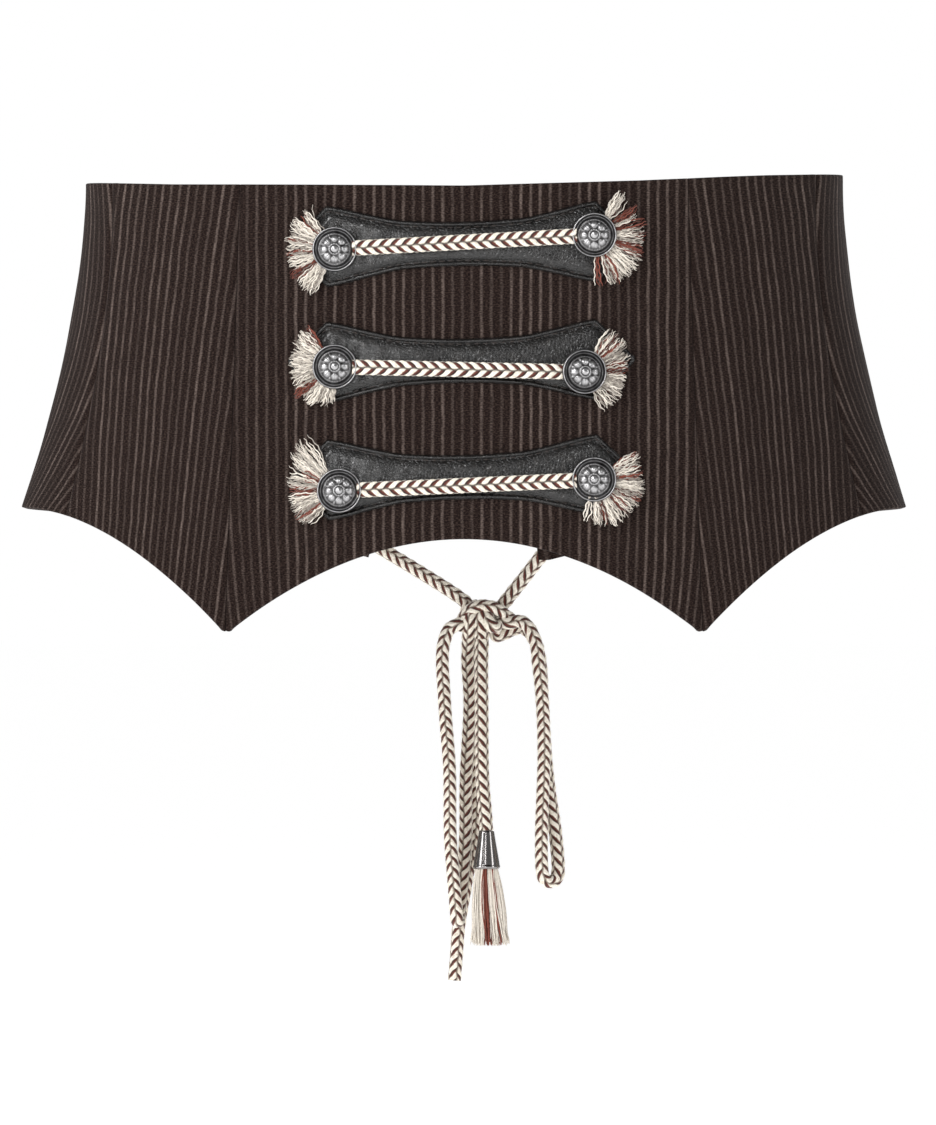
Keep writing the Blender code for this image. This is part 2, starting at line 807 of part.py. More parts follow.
def make_bell_and_tassel():
    top = knot_middle() + Vector((BELL_ACROSS, BELL_BACK * CORD, -BELL_DOWN - GAP))
    profile = (
        (0.0, 0.0),
        (BELL_TOP * 0.9, 0.0),
        (BELL_TOP, -BELL_HEIGHT * 0.04),
        (BELL_TOP + (BELL_MOUTH - BELL_TOP) * 0.45, -BELL_HEIGHT * 0.5),
        (BELL_MOUTH, -BELL_HEIGHT * 0.9),
        (BELL_MOUTH, -BELL_HEIGHT),
        (0.0, -BELL_HEIGHT),
    )
    turned("bell", profile, ROUND_SIDES, METAL_LOOK).location = top

    data = bmesh.new()
    bmesh.ops.create_cone(
        data,
        cap_ends=True,
        segments=ROUND_SIDES,
        radius1=0.5,
        radius2=0.5 * BELL_MOUTH * 1.7 / TASSEL_WIDTH,
        depth=TASSEL_LENGTH,
    )
    bmesh.ops.scale(data, vec=(TASSEL_WIDTH, TASSEL_DEPTH, 1.0), verts=data.verts)
    tassel = finish("tassel", data, BRAID_LOOK)
    tassel.location = top - Vector((0, 0, BELL_HEIGHT + GAP + TASSEL_LENGTH / 2))


cloth_panels = make_panels()
make_frogging()
make_eyelets(cloth_panels)
make_cords()
make_knot()
make_bell_and_tassel()
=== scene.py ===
# %% [markdown]
# # A laced corset belt
#
# The belt is a loop of seven striped cloth panels, worn round a waist. Three black leather
# straps with braid and buttons close the front, and a braided cord laces the open back.
# The CAD model gives every piece its place and size. This script gives each one its looks:
# finer meshes stand for the CAD solids, and nodes make their finish.

# %% Load the fixed frame
import math
import random

import bpy
import numpy as np
from mathutils import Euler, Matrix, Vector, noise


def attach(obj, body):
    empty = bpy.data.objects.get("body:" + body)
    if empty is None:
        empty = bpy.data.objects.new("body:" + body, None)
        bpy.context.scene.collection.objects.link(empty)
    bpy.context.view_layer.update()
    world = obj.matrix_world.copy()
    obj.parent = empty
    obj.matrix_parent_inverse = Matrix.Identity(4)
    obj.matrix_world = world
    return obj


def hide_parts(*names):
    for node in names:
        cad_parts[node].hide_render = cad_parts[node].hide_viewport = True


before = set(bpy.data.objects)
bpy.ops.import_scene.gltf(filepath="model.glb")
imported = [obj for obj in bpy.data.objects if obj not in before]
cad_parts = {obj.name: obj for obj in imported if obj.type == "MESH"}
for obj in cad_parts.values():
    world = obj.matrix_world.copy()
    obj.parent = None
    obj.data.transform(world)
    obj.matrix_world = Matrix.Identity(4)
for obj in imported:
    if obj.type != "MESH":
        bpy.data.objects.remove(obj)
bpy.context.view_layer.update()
print("CAD nodes:", len(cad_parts))

# %% [markdown]
# ## Camera
#
# A product photographer stands far back with a long lens, so that near and far parts keep the
# same scale. Eight hundred millimetres on a 36 mm sensor, nearly nine metres away, does that:
# the picture is 0.40 m tall at the middle of the belt.

# %% Camera
LENS = 800
SENSOR = 36
PICTURE_HEIGHT = 0.4013    # at the plane through the middle of the belt
VIEW_CENTRE = (0.0014, -0.1343)   # across and up


def put_in_scene(name, data):
    """An object that shows this data, linked into the scene."""
    made = bpy.data.objects.new(name, data)
    bpy.context.scene.collection.objects.link(made)
    return made


camera_data = bpy.data.cameras.new("camera")
camera_data.lens = LENS
camera_data.sensor_width = SENSOR
camera_data.clip_end = 60
camera = put_in_scene("camera", camera_data)
camera.location = (VIEW_CENTRE[0], -PICTURE_HEIGHT * LENS / SENSOR, VIEW_CENTRE[1])
camera.rotation_euler = (math.radians(90), 0, 0)
bpy.context.scene.camera = camera
print("camera distance:", round(-camera.location.y, 3))

# %% [markdown]
# ## The belt's skin
#
# The panels lie on one smooth skin: a rounded waist that opens towards the hips. Every section
# of it is a superellipse, a curve between an ellipse and a rectangle. The functions below give
# a point of that skin for an angle round the belt and a depth below the waist. They take whole
# arrays, so a grid of thousands of points is placed in one call.

# %% Sizes of the skin
WAIST_WIDTH = 0.270
FRONT_REACH = 0.088
BACK_REACH = 0.090
FRONT_HEIGHT = 0.126
POINT_DROP = 0.0335
SIDE_HEIGHT = 0.1145
BACK_HEIGHT = 0.133
SIDE_FLARE = 0.0228
FRONT_FLARE = 0.003
BACK_FLARE = 0.012
FLARE_POWER = 1.7
SECTION_POWER = 2.4
CLOTH = 0.0022             # thickness
GAP = 0.0003               # between neighbouring pieces


# %% Points of the skin
def half_sizes(depth):
    """Half width, front reach and back reach of the section this far below the waist."""
    opened = (np.maximum(depth, 0.0) / SIDE_HEIGHT) ** FLARE_POWER
    return (
        WAIST_WIDTH / 2 + SIDE_FLARE * opened,
        FRONT_REACH + FRONT_FLARE * opened,
        BACK_REACH + BACK_FLARE * opened,
    )


def skin(around, depth):
    """Points of the outer skin: around is 0 at the front centre and positive towards +X."""
    around, depth = np.broadcast_arrays(np.asarray(around, float), np.asarray(depth, float))
    half_width, front, back = half_sizes(depth)
    sideways = np.sin(around)
    forward = np.cos(around)
    reach = np.where(forward > 0, front, back)
    total = np.abs(sideways / half_width) ** SECTION_POWER + np.abs(forward / reach) ** SECTION_POWER
    radius = total ** (-1 / SECTION_POWER)
    return np.stack([radius * sideways, -radius * forward, -depth], axis=-1)


def outward(around, depth):
    small = 1e-4
    along = skin(around + small, depth) - skin(around - small, depth)
    down = skin(around, depth + small) - skin(around, depth - small)
    normal = np.cross(down, along)
    return normal / np.linalg.norm(normal, axis=-1, keepdims=True)


def off_skin(around, depth, out):
    return skin(around, depth) + outward(around, depth) * np.asarray(out)[..., None]


def around_at(across, depth, at_back=False):
    """The angle round the belt of a place this far to the side."""
    half_width, front, back = half_sizes(depth)
    share = np.minimum(np.abs(across) / half_width, 1.0)
    forward = (1 - share ** SECTION_POWER) ** (1 / SECTION_POWER)
    if at_back:
        return np.arctan2(across, -forward * back)
    return np.arctan2(across, forward * front)


def on_front(across, depth, out):
    return off_skin(around_at(across, depth), depth, out)


def on_back(across, depth, out):
    return off_skin(around_at(across, depth, True), depth, out)


print("front of the hem:", on_front(0.0, FRONT_HEIGHT, 0.0).round(4))

# %% [markdown]
# ## Cord routes
#
# One lace of round braided cotton closes the back. Each half starts at the middle of the top
# bar, crosses from eyelet to eyelet, and ends in the bow. Below the bow hang two loops and two
# tails. The routes follow those of the CAD model, except where a closer look at the photograph
# moved a hanging strand by a few millimetres.

# %% Eyelets and lacing edge
LACING_TOP = 0.040
LACING_END = 0.062
LACING_SHIFT = -0.004
LACING_POWER = 3
EYELET_COUNT = 5
EYELET_INSET = 0.0090
EYELET_FIRST = 0.014
EYELET_LAST = 0.123
CORD = 0.0050              # diameter
BEND = 1.08                # radius of a bend through an eyelet, in cord diameters
BEND_SHIFT = 0.0007
CROSSING_LIFT = 0.92       # in cord diameters
EDGE_PASS = 0.4
LACE_LEVEL = -CLOTH / 2


def lacing_edge(side, depth):
    """How far to the side the open edge lies, at the back."""
    share = np.clip(depth / BACK_HEIGHT, 0.0, 1.0) ** LACING_POWER
    half_gap = (LACING_TOP + (LACING_END - LACING_TOP) * share) / 2
    return side * half_gap + LACING_SHIFT * share


def eyelet_place(side, row):
    depth = EYELET_FIRST + (EYELET_LAST - EYELET_FIRST) * row / (EYELET_COUNT - 1)
    return lacing_edge(side, depth) + side * EYELET_INSET, depth


def unit(way):
    return way / np.linalg.norm(way)


# %% The bow's knot and hanging strands
KNOT_HALF = np.array([3.0, 2.8, 2.2]) * CORD / 2
KNOT_ACROSS = 0.0069
KNOT_BELOW_HEM = 0.0213
KNOT_BEHIND = 0.0035
KNOT_CLEAR = 0.0005
KNOT_STUB = 0.4            # in cord diameters
KNOT_MIDDLE = np.array([
    KNOT_ACROSS,
    on_back(0.0, BACK_HEIGHT, KNOT_BEHIND)[1],
    -BACK_HEIGHT - KNOT_BELOW_HEM,
])

# Direction in which each cord leaves the knot
KNOT_WAYS = {
    "lace_left": (-0.80, 0.15, 0.60),
    "lace_right": (0.85, 0.15, 0.50),
    "loop_left_out": (-0.93, -0.30, -0.20),
    "loop_left_in": (-0.60, 0.35, -0.70),
    "loop_right_out": (0.93, -0.30, -0.15),
    "loop_right_in": (0.60, 0.40, -0.65),
    "tail_left": (0.00, 0.85, -0.50),
    "tail_right": (-0.05, -0.45, -0.90),
}

# Hanging strands, from the knot's middle: metres across, cord diameters back, metres down
LOOP_LEFT_OUT = (
    (-0.0122, -0.48, 0.0040),
    (-0.0143, -0.52, 0.0094),
    (-0.0148, -0.52, 0.0156),
    (-0.0143, -0.52, 0.0249),
    (-0.0136, -0.52, 0.0361),
    (-0.0122, -0.52, 0.0546),
    (-0.0119, -0.52, 0.0787),
    (-0.0106, -0.52, 0.0960),
    (-0.0097, -0.50, 0.1070),
)
LOOP_LEFT_IN = (
    (-0.0088, 0.52, 0.1070),
    (-0.0076, 0.74, 0.0960),
    (-0.0064, 0.76, 0.0787),
    (-0.0062, 0.76, 0.0585),
    (-0.0048, 0.74, 0.0300),
    (-0.0056, 0.72, 0.0140),
)
LOOP_RIGHT_OUT = (
    (0.0130, -0.44, 0.0012),
    (0.0160, -0.48, 0.0029),
    (0.0191, -0.52, 0.0094),
    (0.0198, -0.52, 0.0156),
    (0.0213, -0.52, 0.0296),
    (0.0219, -0.52, 0.0499),
    (0.0210, -0.46, 0.0787),
    (0.0214, -0.28, 0.0922),
)
LOOP_RIGHT_IN = (
    (0.0270, 0.30, 0.0922),
    (0.0262, 0.52, 0.0787),
    (0.0238, 0.68, 0.0621),
    (0.0225, 0.72, 0.0499),
    (0.0213, 0.76, 0.0296),
    (0.0202, 0.84, 0.0140),
    (0.0178, 0.90, 0.0066),
    (0.0138, 0.90, 0.0034),
)
TAIL_LEFT = (
    (-0.0036, 1.84, 0.0120),
    (-0.0030, 1.92, 0.0290),
    (-0.0028, 1.92, 0.0546),
    (-0.0036, 1.90, 0.0787),
    (-0.0064, 1.86, 0.0970),
    (-0.0088, 1.70, 0.1110),
    (-0.0096, 1.62, 0.1210),
    (-0.0104, 1.60, 0.1311),
)
TAIL_RIGHT = (
    (-0.0006, -0.76, 0.0160),
    (-0.0005, -0.80, 0.0330),
    (-0.0002, -0.80, 0.0585),
    (0.0008, -0.80, 0.0705),
    (0.0012, -0.80, 0.0772),
)


# %% Routes from those tables
def knot_point(direction, out):
    """A point this far off the knot's skin, in a direction from its middle."""
    way = unit(np.array(direction))
    on_knot = way / math.sqrt(sum((way / KNOT_HALF) ** 2))
    return KNOT_MIDDLE + on_knot + unit(on_knot / KNOT_HALF ** 2) * out


def knot_end(way):
    """The two points with which a cord leaves the knot, straight off its skin."""
    return [knot_point(KNOT_WAYS[way], out) for out in (KNOT_CLEAR, KNOT_CLEAR + CORD * KNOT_STUB)]


def hung(rows):
    return [KNOT_MIDDLE + np.array([across, back * CORD, -down]) for across, back, down in rows]


def loop_route(name, out_rows, in_rows):
    """Down the outer strand, round the lower turn and up the inner strand."""
    going = hung(out_rows)
    coming = hung(in_rows)
    middle = (going[-1] + coming[0]) / 2
    half = (going[-1] - coming[0]) / 2
    drop = np.array([0, 0, -np.linalg.norm(half)])
    turn = [middle + half * math.cos(a) + drop * math.sin(a) for a in np.radians([45, 90, 135])]
    return knot_end(name + "_out") + going + turn + coming + knot_end(name + "_in")[::-1]


def eyelet_bend(place, before, after):
    """The turn of the lace through an eyelet, from inside the belt to its outside."""
    around = around_at(*place, True)
    normal = outward(around, place[1])
    middle = off_skin(around, place[1], LACE_LEVEL)
    ways = []
    for other in (before, after):
        way = other - middle
        ways.append(unit(way - normal * np.dot(way, normal)))
    radius = BEND * CORD
    middle = middle - unit(ways[0] + ways[1]) * BEND_SHIFT
    bend = []
    for degrees in (-90, -45, 0, 45, 90):
        angle = math.radians(degrees)
        way = ways[0] if degrees < 0 else ways[1]
        bend.append(middle + way * radius * (1 - math.cos(angle)) + normal * radius * math.sin(angle))
    return bend


def over_the_gap(side, place, crossing, next_place):
    """The lace over its own panel's edge, past the crossing, and under the other panel."""
    reach = BEND * CORD
    step = EYELET_INSET + EDGE_PASS * CORD
    fall = (next_place[1] - place[1]) * step / abs(next_place[0] - place[0])
    return [
        on_back(place[0] - side * step, place[1] + fall, LACE_LEVEL + reach),
        crossing,
        on_back(next_place[0] + side * step, next_place[1] - fall, LACE_LEVEL - reach),
    ]


def lace_route(name, side):
    """Half of the lace: from the middle of the top bar, crossing down to the knot."""
    start = on_back(side * GAP, eyelet_place(side, 0)[1], LACE_LEVEL - BEND * CORD)
    crossings = [start]
    for row in range(EYELET_COUNT - 1):
        here = eyelet_place(side, row)[1]
        below = eyelet_place(side, row + 1)[1]
        over = 1 if (row + (side > 0)) % 2 else -1
        crossings.append(on_back(0.0, (here + below) / 2, LACE_LEVEL + over * CROSSING_LIFT * CORD))
    ending = knot_end(name)[::-1]
    crossings.append(ending[0])
    route = [start]
    for row in range(EYELET_COUNT):
        row_side = side if row % 2 == 0 else -side
        place = eyelet_place(row_side, row)
        route += eyelet_bend(place, crossings[row], crossings[row + 1])
        if row < EYELET_COUNT - 1:
            next_place = eyelet_place(-row_side, row + 1)
            route += over_the_gap(row_side, place, crossings[row + 1], next_place)
    return route + ending


# %% Smooth, evenly spaced paths
def smooth_curve(route, steps_per_metre=2000):
    """Fine points along a smooth curve through a route's points."""
    ends = [route[0] * 2 - route[1], *route, route[-1] * 2 - route[-2]]
    fine = []
    for before, start, end, after in zip(ends, ends[1:], ends[2:], ends[3:]):
        pairs = ((before, start), (start, end), (end, after))
        gaps = [math.sqrt(max(np.linalg.norm(b - a), 1e-6)) for a, b in pairs]
        leave = (start - before) / gaps[0] - (end - before) / (gaps[0] + gaps[1]) + (end - start) / gaps[1]
        arrive = (end - start) / gaps[1] - (after - start) / (gaps[1] + gaps[2]) + (after - end) / gaps[2]
        leave = leave * gaps[1]
        arrive = arrive * gaps[1]
        steps = max(int(np.linalg.norm(end - start) * steps_per_metre), 4)
        t = (np.arange(steps) / steps)[:, None]
        fine.append(
            start * (2 * t ** 3 - 3 * t ** 2 + 1)
            + leave * (t ** 3 - 2 * t ** 2 + t)
            + end * (3 * t ** 2 - 2 * t ** 3)
            + arrive * (t ** 3 - t ** 2)
        )
    fine.append(route[-1][None])
    return np.concatenate(fine)


def travelled(points):
    """How far along the path each point lies."""
    steps = np.linalg.norm(np.diff(points, axis=0), axis=1)
    return np.concatenate([[0.0], np.cumsum(steps)])


def evenly(points, step):
    """The same path with its points an even step apart."""
    along = travelled(points)
    count = max(round(along[-1] / step), 2)
    places = np.linspace(0, along[-1], count + 1)
    return np.stack([np.interp(places, along, points[:, axis]) for axis in range(3)], axis=1)


def frames_along(points, facing):
    """Unit vectors across and out at each point. The second starts towards facing."""
    forward = np.gradient(points, axis=0)
    forward /= np.linalg.norm(forward, axis=1, keepdims=True)
    out = np.empty_like(points)
    here = np.array(facing, float)
    for row, way in enumerate(forward):
        here = unit(here - way * np.dot(here, way))
        out[row] = here
    return np.cross(out, forward), out


# %% [markdown]
# ## Braided cotton
#
# The cord is an eight-strand round braid: each strand passes over two and under two, so the
# surface shows four columns of slanted stitches that lean left and right in turn. The flat
# braid on the straps is the same thing, pressed flat. One function makes both. Every column
# has its own rows of points, and a stitch swells in the middle of its column and sinks at its
# ends. The UV map holds the count of stitches along the cord, and the count of columns round
# it, so the material can colour each stitch and lay fibres along it.

# %% One braided tube
STITCH_COLUMNS = 4
COLUMN_STEPS = 8           # faces across one column
RUST_SHARE = 0.34          # of a stitch's pitch that its rust thread takes
RUST_RISE = 0.45           # how high the rust thread stands beside a cream part of 1
SWAY = 0.05                # how far the columns sway with each stitch, in columns
CAP_PHASE = 0.6            # a cream place of the stitch, for the closed ends


def stitch_height(phase):
    """How high a stitch stands at this phase: a plump cream part and a thin rust thread."""
    part = phase % 1.0
    rust = np.sin(np.pi * np.clip(part / RUST_SHARE, 0, 1)) ** 0.5 * RUST_RISE
    cream = np.sin(np.pi * np.clip((part - RUST_SHARE) / (1 - RUST_SHARE), 0, 1)) ** 0.55
    return np.where(part < RUST_SHARE, rust, cream)


def tube_quads(ring, side, sides):
    """The four corners of each face of a tube, from its ring and its side."""
    beside = (side + 1) % sides
    here, there = ring * sides, (ring + 1) * sides
    return np.stack([here + side, here + beside, there + beside, there + side], axis=-1)


def braided(points, facing, half_width, half_depth, pitch, lean, relief, roll=0.0, stagger=0.0):
    """Points, faces and UVs of a braided tube round a path, closed at both ends."""
    wide, deep = frames_along(points, facing)
    along = travelled(points) / pitch
    rings = len(points)
    sides = STITCH_COLUMNS * COLUMN_STEPS
    column, step = np.divmod(np.arange(sides), COLUMN_STEPS)
    share = step / COLUMN_STEPS

    def phase_at(ring_along, of_column, of_share):
        slant = np.where(of_column % 2 == 0, of_share, 1 - of_share)
        return ring_along + lean * slant + stagger * (of_column % 2)

    phase = phase_at(along[:, None], column[None], share[None])
    sway = SWAY * np.cos(2 * np.pi * along)[:, None] if stagger else 0.0
    angle = (column + share)[None] * np.pi / 2 + roll + sway * np.pi / 2
    swell = stitch_height(phase) * np.sin(np.pi * share)[None] ** 0.5 * relief
    cos, sin = np.cos(angle), np.sin(angle)
    out = np.stack([cos / half_width, sin / half_depth], axis=-1)
    out /= np.linalg.norm(out, axis=-1, keepdims=True)
    across = cos * (half_width - relief) + out[..., 0] * swell
    away = sin * (half_depth - relief) + out[..., 1] * swell
    spots = points[:, None] + wide[:, None] * across[..., None] + deep[:, None] * away[..., None]
    ends = np.stack([points[0], points[-1]])
    vertices = np.concatenate([spots.reshape(-1, 3), ends])

    ring, side = np.divmod(np.arange((rings - 1) * sides), sides)
    corners = []
    for ring_step, share_step in ((0, 0), (0, 1), (1, 1), (1, 0)):
        corner_share = share[side] + share_step / COLUMN_STEPS
        corner_phase = phase_at(along[ring + ring_step], column[side], corner_share)
        corners.append(np.stack([corner_phase, column[side] + corner_share], axis=-1))
    uvs = np.stack(corners, axis=1).reshape(-1, 2)

    faces = tube_quads(ring, side, sides).tolist()
    last = (rings - 1) * sides
    for here in range(sides):
        beside_here = (here + 1) % sides
        faces.append([beside_here, here, rings * sides])
        faces.append([last + here, last + beside_here, rings * sides + 1])
    uvs = np.concatenate([uvs, np.full((sides * 6, 2), CAP_PHASE)])
    return vertices, faces, uvs


def mesh_piece(name, parts):
    """One object from several parts, each with its points, its faces, and its UVs or None."""
    vertices, faces, uvs = [], [], []
    start = 0
    for part_vertices, part_faces, part_uvs in parts:
        vertices.append(part_vertices)
        faces += [[start + corner for corner in face] for face in part_faces]
        uvs.append(part_uvs)
        start += len(part_vertices)
    mesh = bpy.data.meshes.new(name)
    mesh.from_pydata(np.concatenate(vertices).tolist(), [], faces)
    if part_uvs is not None:
        layer = mesh.uv_layers.new(name="stitch")
        layer.data.foreach_set("uv", np.concatenate(uvs).astype(np.float32).ravel())
    return put_in_scene(name, mesh)


# %% [markdown]
# ## Colours and nodes
#
# Colours are written as the hex values that a paint program shows. Light adds up in linear
# numbers, so one function turns hex to linear. Another small function adds a shader node with
# its settings and links, and every material below is built with it.

# %% Colour and node helpers
MIX_FIRST = 6              # the colour sockets of a Mix node, by their number
MIX_SECOND = 7
COLOUR_MIX = {"data_type": "RGBA", "output": 2}


def colour(hex_value):
    """Linear RGBA of an sRGB hex colour."""
    parts = [int(hex_value[place:place + 2], 16) / 255 for place in (1, 3, 5)]
    linear = [part / 12.92 if part <= 0.04045 else ((part + 0.055) / 1.055) ** 2.4 for part in parts]
    return (*linear, 1.0)


def add(tree, kind, inputs=None, stops=None, output=0, **settings):
    """Add a node with its settings, values, links and ramp stops, and hand back one output.

    Every shader node's type starts with ShaderNode, so kind is only the rest of its name.
    """
    made = tree.nodes.new("ShaderNode" + kind)
    for name, value in settings.items():
        setattr(made, name, value)
    for socket, value in (inputs or {}).items():
        if isinstance(value, bpy.types.NodeSocket):
            tree.links.new(value, made.inputs[socket])
        else:
            made.inputs[socket].default_value = value
    if stops:
        elements = made.color_ramp.elements
        while len(elements) < len(stops):
            elements.new(1.0)
        for element, (place, hex_value) in zip(elements, stops):
            element.position = place
            element.color = colour(hex_value)
    return made.outputs[output]


def off_middle(tree, value):
    """How far a value lies from the middle of its whole step, from 0 to 0.5."""
    part = add(tree, "Math", {0: value}, operation="FRACT")
    part = add(tree, "Math", {0: part, 1: 0.5}, operation="SUBTRACT")
    return add(tree, "Math", {0: part}, operation="ABSOLUTE")


def surface(tree, shader, shown, height, strength, distance):
    """Link a colour to the shader, and small bumps of this height."""
    bump = add(tree, "Bump", {"Strength": strength, "Distance": distance, "Height": height})
    tree.links.new(shown, shader["Base Color"])
    tree.links.new(bump, shader["Normal"])


def new_material(name, **shader_values):
    """A material with a Principled shader, and that shader's plain values."""
    made = bpy.data.materials.new(name)
    made.use_nodes = True
    shader = made.node_tree.nodes["Principled BSDF"]
    for socket, value in shader_values.items():
        shader.inputs[socket.replace("_", " ")].default_value = value
    return made, made.node_tree, shader.inputs


# %% [markdown]
# ## Cotton of the braids
#
# Mercerised cotton cord is soft and nearly white, with a rust-brown thread in every stitch.
# Its surface is matt, with a little sheen from loose fibres. The fibres of a stitch run along
# it, which are lines of one phase in the UV map. The ends of a stitch, where it dives under its
# neighbours, are darkened with painted shade, and so are the gaps between stitches and the
# crevices beside the rust thread. Real fibres are finer than a pixel, so nine lines stand for
# them. The flat braid on the leather gets darker painted shade between its stitches than the
# free cord.

# %% Braided cotton material
FIBRE_LINES = 9            # lines across one pitch
STITCH_END = "#d9cfc2"     # cream that covers the rust thread where a stitch dives
RAGGED = 0.10              # how far the rust thread's edge wanders, in pitches


def braided_cotton(name, gap_shade, edge):
    """Cotton with this colour painted as shade in the gaps between stitches, and this one painted as shade
    where they dive.
    """
    made, tree, shader = new_material(name, Roughness=0.85, Sheen_Weight=0.25, Sheen_Roughness=0.5)
    place = add(tree, "TexCoord", output=3)
    fuzz = add(tree, "TexNoise", {"Vector": place, "Scale": 1400.0, "Detail": 3.0})
    stitch = add(tree, "UVMap", uv_map="stitch")
    along = add(tree, "SeparateXYZ", {"Vector": stitch})
    across = add(tree, "SeparateXYZ", {"Vector": stitch}, output=1)
    ragged = add(tree, "Math", {0: fuzz, 1: RAGGED, 2: along}, operation="MULTIPLY_ADD")
    phase = add(tree, "Math", {0: ragged, 1: RAGGED / 2}, operation="SUBTRACT")
    phase = add(tree, "Math", {0: phase}, operation="FRACT")
    # Painted shade: the gap colour at both ends of the phase, and the grey-brown stop at 0.38, darken the
    # crevices between stitches and beside the rust thread.
    thread = add(
        tree,
        "ValToRGB",
        {"Fac": phase},
        stops=(
            (0.00, gap_shade),
            (0.05, "#2b110c"),
            (0.16, "#3b1710"),
            (0.21, "#64291b"),
            (0.32, "#5a2317"),
            (0.38, "#9a8a7c"),
            (0.44, "#f2ebde"),
            (0.94, "#f2ebde"),
            (1.00, gap_shade),
        ),
    )
    share = off_middle(tree, across)
    ending = add(tree, "MapRange", {"Value": share, "From Min": 0.42, "From Max": 0.50})
    thread = add(
        tree,
        "Mix",
        {0: ending, MIX_FIRST: thread, MIX_SECOND: colour(STITCH_END)},
        **COLOUR_MIX,
    )
    # Painted shade: darker towards the ends of a stitch, where it dives under its neighbours.
    dive_shade = add(tree, "ValToRGB", {"Fac": share}, stops=((0.34, "#ffffff"), (0.50, edge)))
    depth = add(tree, "ValToRGB", {"Fac": fuzz}, stops=((0.25, "#d6cfc5"), (0.55, "#ffffff")))
    shown = thread
    for layer in (dive_shade, depth):
        shown = add(
            tree,
            "Mix",
            {0: 1.0, MIX_FIRST: shown, MIX_SECOND: layer},
            blend_type="MULTIPLY",
            **COLOUR_MIX,
        )
    turns = add(tree, "Math", {0: along, 1: math.tau * FIBRE_LINES}, operation="MULTIPLY")
    lines = add(tree, "Math", {0: turns}, operation="SINE")
    height = add(tree, "Math", {0: lines, 1: 0.3, 2: fuzz}, operation="MULTIPLY_ADD")
    surface(tree, shader, shown, height, 0.5, 0.00012)
    return made


# The second colour is painted shade between the stitches, the third painted shade where a stitch dives;
# both are darker on the pressed braid.
BRAIDED_COTTON = braided_cotton("braided_cotton", "#8d7c6e", "#85776d")
PRESSED_BRAID = braided_cotton("pressed_flat_cotton_braid", "#30241d", "#3d3028")

# %% [markdown]
# ## The cords
#
# Each cord is one braided tube along its smooth route. At the knot a cord runs on a little way
# between the wraps.

# %% Cords
STITCH_PITCH = 0.0039
STITCH_LEAN = 0.95         # how far a stitch climbs across its column, in pitches
STITCH_RELIEF = 0.00042
RINGS_PER_STITCH = 10
RING_STEP = STITCH_PITCH / RINGS_PER_STITCH
STAGGER = 0.5              # the right-leaning columns start half a stitch later
CORD_RADIUS = CORD / 2 + 0.0001
INTO_KNOT = 0.0022

# name, route, which way its first column faces (1 back, -1 front), roll in degrees, far end, lay
CORDS = (
    ("lace_left", lace_route("lace_left", -1), 1, 0, "knot", "taut"),
    ("lace_right", lace_route("lace_right", 1), 1, 0, "knot", "taut"),
    ("loop_left", loop_route("loop_left", LOOP_LEFT_OUT, LOOP_LEFT_IN), -1, 0, "object", "hanging"),
    ("loop_right", loop_route("loop_right", LOOP_RIGHT_OUT, LOOP_RIGHT_IN), -1, 0, "object", "hanging"),
    ("tail_left", knot_end("tail_left") + hung(TAIL_LEFT), -1, 0, "bare", "hanging"),
    ("tail_right", knot_end("tail_right") + hung(TAIL_RIGHT), -1, 40, "fitting", "hanging"),
)


def into_knot(path, name):
    """The path with its knot ends run on between the wraps."""
    first = path[0] + unit(path[0] - path[1]) * INTO_KNOT
    last = path[-1] + unit(path[-1] - path[-2]) * INTO_KNOT
    if name.startswith("lace"):
        return np.vstack([path, last])
    if name.startswith("loop"):
        return np.vstack([first, path, last])
    return np.vstack([first, path])


def cord_tube(path, facing, roll):
    """The round braid along an even path."""
    sizes = (CORD_RADIUS, CORD_RADIUS, STITCH_PITCH, STITCH_LEAN, STITCH_RELIEF)
    return braided(path, facing, *sizes, roll, STAGGER)


def active(piece):
    """Select one piece only, so that the next operator acts on it."""
    bpy.ops.object.select_all(action="DESELECT")
    piece.select_set(True)
    bpy.context.view_layer.objects.active = piece


def finish_piece(piece, look, slot, *nodes, angle=60):
    """Give a piece its material, smooth shading and body, and hide the CAD nodes it stands for. The slot
    is not used.
    """
    piece.data.materials.clear()
    for material in look if isinstance(look, tuple) else (look,):
        piece.data.materials.append(material)
    active(piece)
    bpy.ops.object.shade_smooth_by_angle(angle=math.radians(angle))
    if nodes:
        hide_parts(*nodes)
    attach(piece, "root")
    return piece


cord_paths = {}
for name, route, facing, roll, far_end, lay in CORDS:
    path = evenly(into_knot(smooth_curve(route), name), RING_STEP)
    tube = cord_tube(path, (0, facing, 0), math.radians(roll))
    finish_piece(mesh_piece(name + "_cord", [tube]), BRAIDED_COTTON, "cord", name)
    cord_paths[name] = path
    print(name, "length", round(travelled(path)[-1], 4), "faces", len(tube[1]))

# %% [markdown]
# ## The bow's knot
#
# The knot is the same cord wrapped round itself. One band arches over the top from the left
# loop to the right one, another goes round from the crevice in the middle to the lower right,
# and two strands come down through them. Each is a short braided tube through a few points,
# given in cord diameters from the knot's middle, and a hidden core keeps light out.

